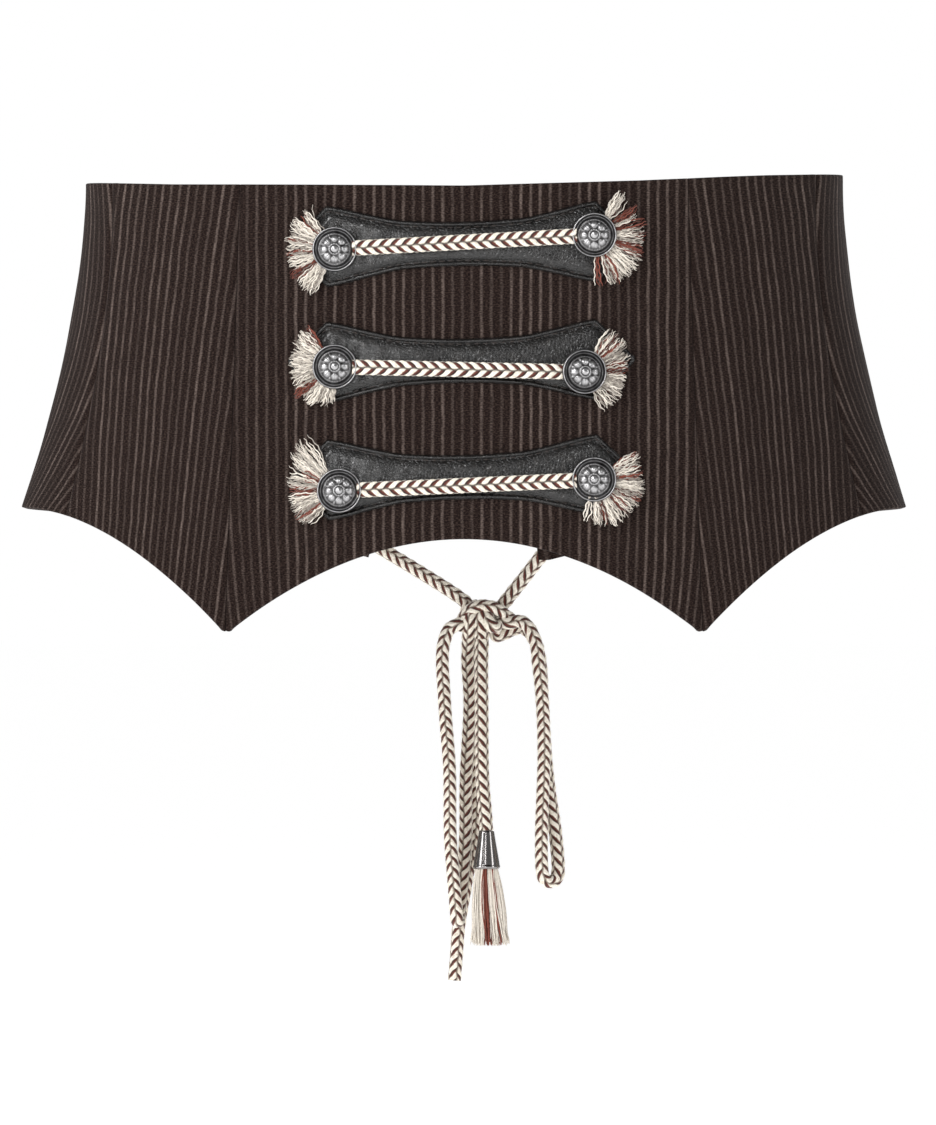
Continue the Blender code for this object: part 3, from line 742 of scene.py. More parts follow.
# %% Knot
# name: points (across, back, up) in cord diameters
KNOT_STRANDS = {
    "arch": (
        (-1.75, -0.38, -0.95), (-1.50, -0.42, -0.25), (-1.05, -0.72, 0.42), (-0.35, -0.95, 0.80),
        (0.40, -0.95, 0.82), (1.10, -0.75, 0.55), (1.75, -0.45, 0.05), (2.45, -0.35, -0.45),
    ),
    "wrap": (
        (-0.05, -0.60, 0.60), (0.26, -0.95, 0.12), (0.46, -1.08, -0.38), (0.74, -0.98, -0.62),
        (1.02, -0.55, -0.50), (1.15, 0.10, -0.34), (1.08, 0.65, -0.18), (0.50, 1.05, 0.05),
        (-0.40, 1.05, 0.15), (-1.10, 0.60, 0.15), (-1.35, -0.05, 0.10), (-1.10, -0.55, 0.05),
        (-0.75, -0.60, 0.0),
    ),
    "down_right": (
        (0.15, 0.10, 0.85), (0.02, -0.55, 0.70), (-0.10, -0.92, 0.25), (-0.13, -0.95, -0.35),
        (-0.12, -0.80, -0.95), (-0.12, -0.76, -1.50),
    ),
    "down_left": (
        (-0.45, 0.20, 0.90), (-0.72, -0.45, 0.62), (-0.92, -0.78, 0.15), (-1.00, -0.70, -0.40),
        (-1.02, -0.35, -0.95), (-1.08, 0.15, -1.55), (-1.10, 0.55, -2.20),
    ),
    "back": (
        (0.55, 0.30, 0.85), (0.50, 0.85, 0.55), (0.30, 1.25, 0.05), (0.05, 1.25, -0.50),
        (-0.05, 0.95, -0.95),
    ),
    "back_over": (
        (-1.30, 0.30, 0.40), (-0.80, 0.85, 0.62), (0.0, 1.05, 0.68), (0.80, 0.85, 0.55),
        (1.40, 0.30, 0.25),
    ),
}
KNOT_CORE = 0.72           # of the CAD knot's size
KNOT_ROLL = 0.6            # turn of the braid about itself, in radians
OFF_STRAND = 0.1           # keeps the first column from facing along its strand


def small_ball(segments, rings, half_sizes, middle=(0, 0, 0)):
    """A sphere primitive, scaled to these half sizes."""
    bpy.ops.object.select_all(action="DESELECT")
    bpy.ops.mesh.primitive_uv_sphere_add(segments=segments, ring_count=rings, radius=1, location=middle)
    bpy.ops.object.mode_set(mode="EDIT")
    bpy.ops.mesh.select_all(action="SELECT")
    bpy.ops.transform.resize(value=half_sizes)
    bpy.ops.object.mode_set(mode="OBJECT")
    bpy.ops.object.transform_apply(location=True, rotation=True, scale=True)
    return bpy.context.object


knot_parts = []
for strand in KNOT_STRANDS.values():
    path = evenly(smooth_curve([KNOT_MIDDLE + np.array(point) * CORD for point in strand]), RING_STEP)
    middle = path[len(path) // 2] - KNOT_MIDDLE
    facing = path[0] - KNOT_MIDDLE + middle * OFF_STRAND
    knot_parts.append(cord_tube(path, facing, KNOT_ROLL))
core = small_ball(24, 16, KNOT_HALF * KNOT_CORE, KNOT_MIDDLE)
core.data.uv_layers[0].name = "stitch"
knot = mesh_piece("bow_knot_wraps", knot_parts)
active(knot)
core.select_set(True)
bpy.ops.object.join()
finish_piece(knot, BRAIDED_COTTON, "cord", "bow_knot")
print("knot strands:", len(KNOT_STRANDS))

# %% [markdown]
# ## Bending a grid
#
# Most of the other pieces start as one grid primitive. Its points are then moved to where a
# function of two shares, u across and v down, puts them. A panel, a strap, a button's turned
# profile and a bell are all made this way, each with its own function. Where a grid is rolled
# up, the two edges that meet are merged.

# %% Grid helpers
def grid_piece(name, columns, rows, place, uv_name="UVMap", uv_place=None):
    """A grid whose points are moved to place(u, v), with a UV map from uv_place(u, v)."""
    bpy.ops.object.select_all(action="DESELECT")
    bpy.ops.mesh.primitive_grid_add(x_subdivisions=columns, y_subdivisions=rows, size=1)
    piece = bpy.context.object
    piece.name = name
    mesh = piece.data
    mesh.name = name
    spots = np.empty(len(mesh.vertices) * 3)
    mesh.vertices.foreach_get("co", spots)
    u = spots[0::3] + 0.5
    v = 0.5 - spots[1::3]
    if uv_place:
        mesh.uv_layers[0].name = uv_name
        corners = np.empty(len(mesh.loops), int)
        mesh.loops.foreach_get("vertex_index", corners)
        uvs = uv_place(u, v)[corners].astype(np.float32)
        mesh.uv_layers[0].data.foreach_set("uv", uvs.ravel())
    mesh.vertices.foreach_set("co", place(u, v).ravel())
    mesh.update()
    return piece


def apply_modifier(piece, kind, **settings):
    active(piece)
    made = piece.modifiers.new(kind.lower(), kind)
    for name, value in settings.items():
        setattr(made, name, value)
    bpy.ops.object.modifier_apply(modifier=made.name)


def rolled_up(piece):
    """Merge the edges that meet on a rolled grid, and turn its faces outwards."""
    active(piece)
    bpy.ops.object.mode_set(mode="EDIT")
    bpy.ops.mesh.select_all(action="SELECT")
    bpy.ops.mesh.remove_doubles(threshold=1e-6)
    bpy.ops.mesh.normals_make_consistent(inside=False)
    bpy.ops.object.mode_set(mode="OBJECT")


def dense_ends(share, amount=0.75):
    """Shares from 0 to 1 that lie closer together near both ends."""
    return share - amount * np.sin(2 * np.pi * share) / (2 * np.pi)


def waviness(points, size, seed):
    """Smooth noise from -1 to 1 at each point, with bumps of this size."""
    shift = Vector((seed * 7.3, seed * 3.1, seed * 5.7))
    return np.array([noise.noise(Vector(point) / size + shift) for point in points])


# %% [markdown]
# ## Striped cloth
#
# The cloth is a soft brushed wool suiting, nearly black brown, with a fine grey-beige stripe
# woven in every three and a half millimetres. No two stripes are equally bright, because the
# light yarns sit a little deeper here and there. The panel's UV map is in millimetres on the
# cloth, so stripes run with the grain and end at the seams. Single yarns are finer than a pixel,
# so the weave is drawn as specks about 0.9 mm wide and half as long.

# %% Cloth material
STRIPE_PITCH = 3.46        # millimetres
WEAVE = 0.875              # width of a speck in millimetres
WEAVE_SQUASH = 2.1         # how much shorter a speck is along the stripe


def striped_cloth():
    values = {"Roughness": 0.95, "Sheen_Weight": 0.02, "Sheen_Roughness": 0.6, "Specular_IOR_Level": 0.05}
    made, tree, shader = new_material("brushed_wool_suiting", **values)
    cut = add(tree, "UVMap", uv_map="cloth")
    across = add(tree, "SeparateXYZ", {"Vector": cut})
    down = add(tree, "SeparateXYZ", {"Vector": cut}, output=1)
    waver = add(tree, "TexNoise", {"Vector": cut, "Scale": 0.07, "Detail": 2.0})
    across = add(tree, "Math", {0: waver, 1: 1.2, 2: across}, operation="MULTIPLY_ADD")
    count = add(tree, "Math", {0: across, 1: STRIPE_PITCH}, operation="DIVIDE")
    index = add(tree, "Math", {0: count}, operation="FLOOR")
    part = off_middle(tree, count)
    line = add(tree, "MapRange", {"Value": part, "From Min": 0.22, "From Max": 0.05})
    bright = add(tree, "TexWhiteNoise", {"W": index}, noise_dimensions="1D")
    bright = add(tree, "MapRange", {"Value": bright, "To Min": 0.25, "To Max": 1.0})
    lengthwise = add(tree, "Math", {0: down, 1: 0.12}, operation="MULTIPLY")
    lengthwise = add(tree, "CombineXYZ", {"X": index, "Y": lengthwise})
    worn = add(tree, "TexNoise", {"Vector": lengthwise, "Scale": 1.0, "Detail": 5.0})
    worn = add(
        tree,
        "MapRange",
        {"Value": worn, "From Min": 0.30, "From Max": 0.65, "To Min": 0.45, "To Max": 1.1},
    )
    strength = add(tree, "Math", {0: line, 1: bright}, operation="MULTIPLY")
    strength = add(tree, "Math", {0: strength, 1: worn}, operation="MULTIPLY", use_clamp=True)
    yarns = add(tree, "VectorMath", {0: cut, 1: (1.0, WEAVE_SQUASH, 1.0)}, operation="MULTIPLY")
    weave = add(
        tree,
        "TexNoise",
        {"Vector": yarns, "Scale": 1 / WEAVE, "Detail": 3.0, "Roughness": 0.65},
    )
    ground = add(
        tree,
        "ValToRGB",
        {"Fac": weave},
        stops=((0.36, "#0e0807"), (0.50, "#1e1513"), (0.64, "#382d28")),
    )
    light = add(tree, "ValToRGB", {"Fac": weave}, stops=((0.34, "#322925"), (0.60, "#6f625c")))
    shown = add(tree, "Mix", {0: strength, MIX_FIRST: ground, MIX_SECOND: light}, **COLOUR_MIX)
    height = add(tree, "Math", {0: strength, 1: 0.5, 2: weave}, operation="MULTIPLY_ADD")
    surface(tree, shader, shown, height, 0.6, 0.00025)
    return made


STRIPED_CLOTH = striped_cloth()

# %% [markdown]
# ## Panels
#
# A corset gets its shape from its seams: each panel is cut wider where the body is wider. The
# seam lines and hems below are those of the CAD model. The grid is denser near its edges,
# because the cloth dips there where the seam pulls it in. Solidify gives it a thickness and
# Bevel turns its edges.

# %% Seams and hems
POINT_SEAM_TOP = 0.0795
POINT_SEAM_END = 0.0845
SIDE_SEAM_SHARE = 0.930
SIDE_SEAM_SHIFT = 0.036
BACK_SEAM_SHARE = 0.700
SIDE_ARCH_POWER = 1.8
POINT_ROUNDING = 0.004
POINT_HEIGHT = FRONT_HEIGHT + POINT_DROP
HEM_ROUNDS = 12
TOP_PLACES = (-1.00, -0.77, 0.00, 0.46, 0.62, 0.79, 1.00)       # across the half width
TOP_LIFTS = (0.006, -0.003, -0.009, 0.006, 0.014, 0.023, 0.030)  # shares of FRONT_HEIGHT
TOP_LIFT_BACK = -0.018


def seam(name, side, depth):
    """The angle round the belt of a seam, or of the open edge, at a depth."""
    half_width = half_sizes(depth)[0]
    if name == "point":
        across = POINT_SEAM_TOP + (POINT_SEAM_END - POINT_SEAM_TOP) * depth / POINT_HEIGHT
        return side * around_at(across, depth)
    if name == "side":
        share = SIDE_SEAM_SHARE - SIDE_SEAM_SHIFT * depth / SIDE_HEIGHT
        return side * around_at(half_width * share, depth)
    if name == "back":
        return side * around_at(half_width * BACK_SEAM_SHARE, depth, True)
    return around_at(lacing_edge(side, depth), depth, True)


def back_share(around):
    """0 at the side and 1 at the lacing."""
    quarter = math.pi / 2
    last = abs(around_at(LACING_END / 2, BACK_HEIGHT, True))
    return np.clip((np.abs(around) - quarter) / (last - quarter), 0.0, 1.0)


def top_depth(around):
    place = skin(around, 0.0)[..., 0] / (WAIST_WIDTH / 2)
    at_front = np.interp(place, TOP_PLACES, TOP_LIFTS)
    side_lift = np.where(around > 0, TOP_LIFTS[-1], TOP_LIFTS[0])
    at_back = side_lift + (TOP_LIFT_BACK - side_lift) * back_share(around)
    return -np.where(np.abs(around) <= math.pi / 2, at_front, at_back) * FRONT_HEIGHT


def front_hem(across):
    """A shallow arch between the two points, and a deep one beside each."""
    across = np.abs(across)
    middle = FRONT_HEIGHT + POINT_DROP * (across / POINT_SEAM_END) ** 2
    side_edge = half_sizes(SIDE_HEIGHT)[0]
    share = np.maximum(side_edge - across, 0.0) / (side_edge - POINT_SEAM_END)
    beside = SIDE_HEIGHT + (POINT_HEIGHT - SIDE_HEIGHT) * share ** SIDE_ARCH_POWER
    near = np.maximum(POINT_ROUNDING - np.abs(middle - beside), 0.0) / POINT_ROUNDING
    return np.minimum(middle, beside) - near * near * POINT_ROUNDING / 4


def hem_depth(place):
    """Depth of the hem along a slanting line, worked out in a few rounds."""
    depth = SIDE_HEIGHT
    for _ in range(HEM_ROUNDS):
        around = place(depth)
        at_back = SIDE_HEIGHT + (BACK_HEIGHT - SIDE_HEIGHT) * back_share(around) ** 2
        at_front = front_hem(skin(around, depth)[..., 0])
        depth = np.where(np.abs(around) <= math.pi / 2, at_front, at_back)
    return depth


# %% One panel
PANEL_MESH = 0.0019        # size of a face
SEAM_SINK = 0.0006         # how far the cloth dips at a seam
SEAM_REACH = 0.0013
RIPPLE = 0.00035
RIPPLE_SIZE = 0.022
EDGE_ROUND = 0.0004
SEAM_PRESS = 0.00012       # how far two panels overlap, before rounded edges leave a hairline slit
CENTRE_FAN = 6.0           # millimetres that stripes drift inwards near the two points
SIDE_DRIFT = 20.0          # millimetres that stripes drift back at the side panels' hem
SIDE_LEAN = 15.0           # how far they lean forward higher up
SIDE_MIX = 0.4             # 1 spaces the side stripes as seen from the front, and 0 on the cloth
FRONT_SIDE_SLANT = 0.14    # how far the front side stripes lean for each millimetre down
FRONT_SIDE_EASE = 0.10     # how much less they lean at the outer end of the hem
FRONT_SIDE_SPREAD = 1.03
FAN_FROM = 90              # millimetres below the waist where the centre stripes start to drift
FAN_FALL = 70
FAN_EDGE = 84              # millimetres across, where they drift most
FRONT_SIDE_FALL = 120
SIDE_FALL = 114
CENTRE_START = 500         # shifts of a panel's stripe count, which also pick its bright stripes
SIDE_START = 200
CALM_EDGE = 0.006          # ripples fade this near a seam
HEM_CROWDING = 0.6         # how much denser the rows of faces are at the top and the hem
MEASURES = 40              # places at which a panel's flat size is taken


def arc_per_radian(around, depth):
    ahead = skin(around + 1e-3, depth) - skin(around - 1e-3, depth)
    return np.linalg.norm(ahead, axis=-1) / 2e-3


def stripe_place(name, around, depth, share, width):
    """Millimetres across the stripes, so that they slant and meet at seams as on the belt."""
    across = np.abs(skin(around, depth)[..., 0]) * 1000
    down = np.maximum(depth, 0.0) * 1000
    outer = 1 - share if "left" in name else share
    arc = outer * width * 1000
    if name == "centre_front_panel":
        low = np.clip((down - FAN_FROM) / FAN_FALL, 0, 1) ** 2
        drift = low * CENTRE_FAN * np.clip(across / FAN_EDGE, 0, 1) ** 4
        return np.sign(around) * (across + drift) + CENTRE_START
    if name.startswith("front_side"):
        slant = FRONT_SIDE_SLANT - FRONT_SIDE_EASE * outer * np.clip(down / FRONT_SIDE_FALL, 0, 1)
        return (0.5 * (across + POINT_SEAM_TOP * 1000 + arc) - slant * down) * FRONT_SIDE_SPREAD
    if name.startswith("side"):
        half_width = half_sizes(depth)[0] * 1000
        seam_across = half_width * (SIDE_SEAM_SHARE - SIDE_SEAM_SHIFT * depth / SIDE_HEIGHT)
        past_side = np.abs(around) - math.pi / 2
        behind = half_width + past_side * arc_per_radian(math.pi / 2, depth) * 1000
        across = np.where(past_side < 0, across, behind)
        low = down / SIDE_FALL
        drift = SIDE_DRIFT * low ** 3 - SIDE_LEAN * low * np.clip(1 - low, 0, 1)
        return SIDE_MIX * (across - seam_across) + (1 - SIDE_MIX) * arc - drift + SIDE_START
    return share * width * 1000


def panel_piece(name, first, last):
    """A cloth panel from one seam to the next."""

    def edge(side, seam_name, sign, depth):
        around = seam(seam_name, side, depth)
        if seam_name == "lacing":
            return around
        return around + sign * -SEAM_PRESS / 2 / arc_per_radian(around, depth)

    def around_of(share, depth):
        start = edge(*first, 1, depth)
        return start + (edge(*last, -1, depth) - start) * share

    def spot(u, v):
        share = dense_ends(u)
        top = top_depth(around_of(share, 0.0))
        hem = hem_depth(lambda depth: around_of(share, depth))
        depth = top + (hem - top) * dense_ends(v, HEM_CROWDING)
        around = around_of(share, depth)
        width = (edge(*last, -1, depth) - edge(*first, 1, depth)) * arc_per_radian(around, depth)
        return share, depth, around, width

    def place(u, v):
        share, depth, around, width = spot(u, v)
        sink = np.zeros_like(u)
        for seam_name, distance in ((first[1], share * width), (last[1], (1 - share) * width)):
            if seam_name != "lacing":
                sink += np.exp(-(distance / SEAM_REACH) ** 2)
        edges = np.minimum(1, np.minimum(share, 1 - share) * width / CALM_EDGE)
        flat = skin(around, depth)
        ripple = waviness(flat, RIPPLE_SIZE, 1) * RIPPLE * edges
        return off_skin(around, depth, ripple - sink * SEAM_SINK)

    def uv_place(u, v):
        share, depth, around, width = spot(u, v)
        return np.stack([stripe_place(name, around, depth, share, width), depth * 1000], axis=-1)

    middle_width = spot(np.array([0.5]), np.array([0.5]))[3][0]
    columns = round(middle_width / PANEL_MESH)
    rows = round(BACK_HEIGHT / PANEL_MESH)
    piece = grid_piece(name + "_cloth", columns, rows, place, "cloth", uv_place)
    area = sum(face.area for face in piece.data.polygons)
    sides = np.linspace(0, 1, MEASURES)
    widths = spot(np.full(MEASURES, 0.5), sides)[3]
    tops, hems = spot(sides, np.zeros(MEASURES))[1], spot(sides, np.ones(MEASURES))[1]
    apply_modifier(piece, "SOLIDIFY", thickness=CLOTH, offset=-1)
    flat = (float(widths.max()), float((hems - tops).max()))
    return piece, flat, area


# %% All the panels
# name, first seam, last seam
PANELS = (
    ("back_panel_right", (1, "back"), (1, "lacing")),
    ("side_panel_right", (1, "side"), (1, "back")),
    ("front_side_panel_right", (1, "point"), (1, "side")),
    ("centre_front_panel", (-1, "point"), (1, "point")),
    ("front_side_panel_left", (-1, "side"), (-1, "point")),
    ("side_panel_left", (-1, "back"), (-1, "side")),
    ("back_panel_left", (-1, "lacing"), (-1, "back")),
)
EYELET_BORE = CORD / 2 + 0.0016
EYELET_BARREL = EYELET_BORE + 0.0006
EYELET_FLANGE = EYELET_BORE + 0.0029
HOLE_GAP = 0.0003


def turned_to(piece, normal, point):
    """Stand a piece that was made round Z at a point, with its axis along a normal."""
    matrix = Vector(normal).to_track_quat("Z", "Y").to_matrix().to_4x4()
    matrix.translation = Vector(point)
    piece.data.transform(matrix)
    piece.data.update()


def punch_hole(cloth, place):
    """Cut one eyelet's hole through a panel."""
    bpy.ops.object.select_all(action="DESELECT")
    bpy.ops.mesh.primitive_cylinder_add(vertices=40, radius=EYELET_BARREL + HOLE_GAP, depth=CLOTH * 6)
    punch = bpy.context.object
    around = around_at(*place, True)
    turned_to(punch, outward(around, place[1]), skin(around, place[1]))
    apply_modifier(cloth, "BOOLEAN", operation="DIFFERENCE", solver="EXACT", object=punch)
    bpy.data.objects.remove(punch, do_unlink=True)


for name, first, last in PANELS:
    piece, flat, area = panel_piece(name, first, last)
    if name.startswith("back"):
        side = 1 if name.endswith("right") else -1
        for row in range(EYELET_COUNT):
            punch_hole(piece, eyelet_place(side, row))
    apply_modifier(piece, "BEVEL", width=EDGE_ROUND, segments=2, limit_method="ANGLE", angle_limit=1.1)
    finish_piece(piece, STRIPED_CLOTH, "striped_cloth", name, angle=50)
    print(name, "cut", [round(size * 1000) for size in flat], "mm, faces", len(piece.data.polygons))

# %% [markdown]
# ## Leather
#
# The straps are thin black leather over a soft filling. Finished leather is dark and a little
# shiny, and its grain breaks the shine into small patches. The grain is drawn at about one
# millimetre, with finer wrinkles inside it. Handling leaves it a little duller in places.

# %% Leather material
def black_leather():
    made, tree, shader = new_material("waxed_black_leather", Coat_Weight=0.25, Coat_Roughness=0.16)
    place = add(tree, "TexCoord", output=3)
    grain = add(tree, "TexVoronoi", {"Vector": place, "Scale": 950.0}, feature="DISTANCE_TO_EDGE")
    grain = add(tree, "MapRange", {"Value": grain, "From Max": 0.22})
    wrinkle = add(tree, "TexNoise", {"Vector": place, "Scale": 380.0, "Detail": 5.0})
    patches = add(tree, "TexNoise", {"Vector": place, "Scale": 75.0, "Detail": 3.0})
    rough = add(tree, "MapRange", {"Value": patches, "To Min": 0.18, "To Max": 0.36})
    tree.links.new(rough, shader["Roughness"])
    shown = add(
        tree,
        "ValToRGB",
        {"Fac": wrinkle},
        stops=((0.30, "#080707"), (0.55, "#131110"), (0.75, "#262321")),
    )
    height = add(tree, "Math", {0: wrinkle, 1: 1.3, 2: grain}, operation="MULTIPLY_ADD")
    surface(tree, shader, shown, height, 0.6, 0.00025)
    return made


BLACK_LEATHER = black_leather()

# %% [markdown]
# ## Straps
#
# A strap is narrow in the middle, opens like a fishtail and ends in a blunt point. Its edge is
# rolled over, a sewn groove runs inside it, and the padded middle rises again. The height of
# each grid point follows from its distance to the outline.

# %% Strap sizes and outline
STRAP_LENGTH = 0.122
STRAP_SHOULDER = 0.0474    # from the middle to the widest place
STRAP_WIDE = 0.0289
STRAP_NARROW = 0.0154
STRAP_TIP = 0.0016
STRAP_BASE = GAP
STRAP_TOP = STRAP_BASE + 0.0018
TRIM_BASE = STRAP_TOP + GAP
STRAP_PLACES = (0.0, 0.2, 0.47, 0.735, 0.864, 1.0)
STRAP_OPENING = (0.0, 0.03, 0.15, 0.57, 0.81, 1.0)
STRAP_SHELL = 0.0002
CREASE_SIZE = 0.0042
CREASE_DEPTH = 0.00034
PADDING_SIZE = 0.011
PADDING_DEPTH = 0.00030
CREASED_FROM = 0.030       # creases deepen from here towards the strap's ends
CREASED_WITHIN = 0.020
CREASE_STRETCH = 0.35      # below 1 a crease is longer across the strap
CREASE_LEAST = 0.25
SMOOTH_EDGE = 0.0024       # no crease this near the outline
CREASE_FADE = 0.002
CORNER_SHIFTS = (-0.003, -0.0015, 0.0, 0.0015, 0.003)   # places that a corner is averaged over

# name, middle (across, down), tilt in degrees, left button, right button, the right one's lean
# in degrees
STRAPS = (
    ("top", (-0.0009, 0.0218), 1.1, (-0.0454, 0.0237), (0.0457, 0.0187), 0),
    ("middle", (-0.0009, 0.0631), 0.6, (-0.0454, 0.0653), (0.0417, 0.0672), 10),
    ("bottom", (-0.0005, 0.1042), 1.2, (-0.0439, 0.1092), (0.0457, 0.1052), 0),
)
BUTTON_PLACES = []         # name, side, place (across, down) and lean in radians
for row, middle, degrees, left, right, lean in STRAPS:
    BUTTON_PLACES.append((row + "_left", -1, left, 0.0))
    BUTTON_PLACES.append((row + "_right", 1, right, math.radians(lean)))

# Distance from the outline and height above the cloth, in millimetres
STRAP_SECTION = (
    (0.0, 0.25), (0.25, 0.95), (0.7, 1.50), (1.2, 1.38), (1.6, 0.72), (1.9, 0.48),
    (2.3, 0.80), (3.2, 1.50), (4.5, 1.85), (8.0, 1.90),
)


def strap_half_width(along):
    """Half the strap's width this far from its middle, with its curve smoothed."""
    widths = []
    for shift in CORNER_SHIFTS:
        share = np.interp(np.abs(along + shift) / STRAP_SHOULDER, STRAP_PLACES, STRAP_OPENING)
        widths.append(STRAP_NARROW + (STRAP_WIDE - STRAP_NARROW) * share)
    to_tip = (np.abs(along) - STRAP_SHOULDER) / (STRAP_LENGTH / 2 - STRAP_SHOULDER)
    ending = STRAP_WIDE + (STRAP_TIP - STRAP_WIDE) * np.clip(to_tip, 0, 1)
    return np.minimum(np.mean(widths, axis=0), ending) / 2


OUTLINE_ALONG = np.linspace(-STRAP_LENGTH / 2, STRAP_LENGTH / 2, 500)
OUTLINE = np.concatenate([
    np.stack([OUTLINE_ALONG, strap_half_width(OUTLINE_ALONG)], axis=-1),
    [[end * STRAP_LENGTH / 2, STRAP_TIP / 2 * share] for end in (-1, 1) for share in (0, 0.5)],
])


def strap_height(along, away):
    """Height above the cloth, from the distance to the outline and a few creases."""
    here = np.stack([along, np.abs(away)], axis=-1)
    distance = np.array([np.linalg.norm(OUTLINE - spot, axis=1).min() for spot in here])
    height = np.interp(distance * 1000, *zip(*STRAP_SECTION)) / 1000
    near_end = np.clip((np.abs(along) - CREASED_FROM) / CREASED_WITHIN, 0, 1)
    creased = waviness(np.stack([along, away * CREASE_STRETCH, along * 0], axis=-1), CREASE_SIZE, 4)
    padded = waviness(np.stack([along, away, along * 0], axis=-1), PADDING_SIZE, 5)
    inside = np.clip((distance - SMOOTH_EDGE) / CREASE_FADE, 0, 1)
    creased = creased * CREASE_DEPTH * (CREASE_LEAST + near_end)
    return height + inside * (creased + padded * PADDING_DEPTH)


def on_strap(middle, tilt, along, away, out):
    across = middle[0] + along * math.cos(tilt) - away * math.sin(tilt)
    depth = middle[1] - along * math.sin(tilt) - away * math.cos(tilt)
    return on_front(across, depth, out)


# %% The straps and their stitches
STRAP_COLUMNS = 150
STRAP_ROWS = 44
THREAD_INSET = 0.00185     # from the outline to the sewn groove
THREAD_STEP = 0.0031
THREAD_LENGTH = 0.0023
THREAD_WIDTH = 0.0005
THREAD_END = 0.0019        # from the strap's tip to the groove's turn
THREAD_LIFT = 0.15         # of its width that a stitch stands over the groove


def strewn(name, model, matrices):
    """One object with a copy of a model's mesh at each matrix."""
    spots = np.array([[*vertex.co, 1.0] for vertex in model.data.vertices])
    faces = [list(face.vertices) for face in model.data.polygons]
    bpy.data.objects.remove(model, do_unlink=True)
    return mesh_piece(name, [((spots @ matrix.T)[:, :3], faces, None) for matrix in matrices])


def standing(point, along, normal):
    """A matrix that puts X along a direction and Z along a normal, at a point."""
    along = unit(along)
    normal = unit(normal - along * np.dot(normal, along))
    matrix = np.eye(4)
    matrix[:3, 0] = along
    matrix[:3, 1] = np.cross(normal, along)
    matrix[:3, 2] = normal
    matrix[:3, 3] = point
    return matrix


def thread_line(middle, tilt):
    """Points of the sewn groove all round one strap."""
    reach = STRAP_LENGTH / 2 - THREAD_END
    along = np.linspace(-reach, reach, 400)
    half = strap_half_width(along)
    slope = np.gradient(half, along)
    away = np.maximum(half - THREAD_INSET * np.sqrt(1 + slope ** 2), 0.0)
    along = np.concatenate([along, along[::-1]])
    away = np.concatenate([away, -away[::-1]])
    out = STRAP_BASE + strap_height(along, away) + THREAD_WIDTH * THREAD_LIFT
    return on_strap(middle, tilt, along, away, out)


thread_places = []
for row, middle, degrees, left, right, lean in STRAPS:
    tilt = math.radians(degrees)

    def strap_place(u, v):
        along = (dense_ends(u, 0.5) * 2 - 1) * STRAP_LENGTH / 2
        away = strap_half_width(along) * (1 - 2 * dense_ends(v, 0.8))
        return on_strap(middle, tilt, along, away, STRAP_BASE + strap_height(along, away))

    piece = grid_piece("strap_" + row + "_leather", STRAP_COLUMNS, STRAP_ROWS, strap_place)
    apply_modifier(piece, "SOLIDIFY", thickness=STRAP_SHELL, offset=-1)
    finish_piece(piece, BLACK_LEATHER, "black_leather", "strap_" + row)
    line = evenly(thread_line(middle, tilt), THREAD_STEP)
    for before, here, after in zip(line, line[1:], line[2:]):
        normal = outward(around_at(here[0], -here[2]), -here[2])
        thread_places.append(standing(here, after - before, normal))

stitch_model = small_ball(8, 6, (THREAD_LENGTH / 2, THREAD_WIDTH / 2, THREAD_WIDTH / 2))
threads = strewn("strap_thread", stitch_model, thread_places)


def waxed_thread():
    made, tree, shader = new_material("waxed_linen_thread", Roughness=0.5)
    place = add(tree, "TexCoord", output=3)
    twist = add(tree, "TexNoise", {"Vector": place, "Scale": 2500.0})
    shown = add(tree, "ValToRGB", {"Fac": twist}, stops=((0.3, "#16110f"), (0.7, "#3a312d")))
    tree.links.new(shown, shader["Base Color"])
    return made


finish_piece(threads, waxed_thread(), "black_leather")
print("stitches on the straps:", len(thread_places))

# %% [markdown]
# ## Flat braids
#
# Along each strap lies the same braid, pressed flat, so only two columns of stitches show. On
# the top and bottom straps it was sewn on with the stitches pointing left, and on the middle
# one pointing right. Both ends run in under the buttons.

# %% Flat braids
BRAID_HALF_WIDTH = 0.00305
BRAID_HALF_DEPTH = 0.0011
BRAID_PITCH = 0.0041
BRAID_LEAN = 0.76
BRAID_RELIEF = 0.00065
BUTTON_RADIUS = 0.0157 / 2
BUTTON_HEIGHT = 0.0046
UNDER_BUTTON = 0.0015      # how far a braid runs in under a button

for row, middle, degrees, left, right, lean in STRAPS:
    start, end = np.array(left), np.array(right)
    along = unit(end - start)
    start = start + along * (BUTTON_RADIUS - UNDER_BUTTON)
    end = end - along * (BUTTON_RADIUS - UNDER_BUTTON)
    steps = np.linspace(0, 1, 300)[:, None]
    flat = start + (end - start) * steps
    line = on_front(flat[:, 0], flat[:, 1], TRIM_BASE + BRAID_HALF_DEPTH)
    if row == "middle":
        line = line[::-1]
    line = evenly(line, BRAID_PITCH / RINGS_PER_STITCH)
    sizes = (BRAID_HALF_WIDTH, BRAID_HALF_DEPTH, BRAID_PITCH, BRAID_LEAN, BRAID_RELIEF)
    tube = braided(line, (0, -1, 0), *sizes, stagger=STAGGER)
    finish_piece(
        mesh_piece("braid_" + row + "_flat", [tube]), PRESSED_BRAID, "braid", "braid_" + row, angle=70
    )
    print("stitches of the", row, "braid:", round(travelled(line)[-1] / BRAID_PITCH))

# %% [markdown]
# ## Metal
#
# The buttons are cast pewter with a dark patina: the recesses stay nearly black and the high
# places are rubbed bright. The eyelets and the bell are dark polished nickel. A metal's colour
# is its reflection, so each material changes little but its colour and roughness.

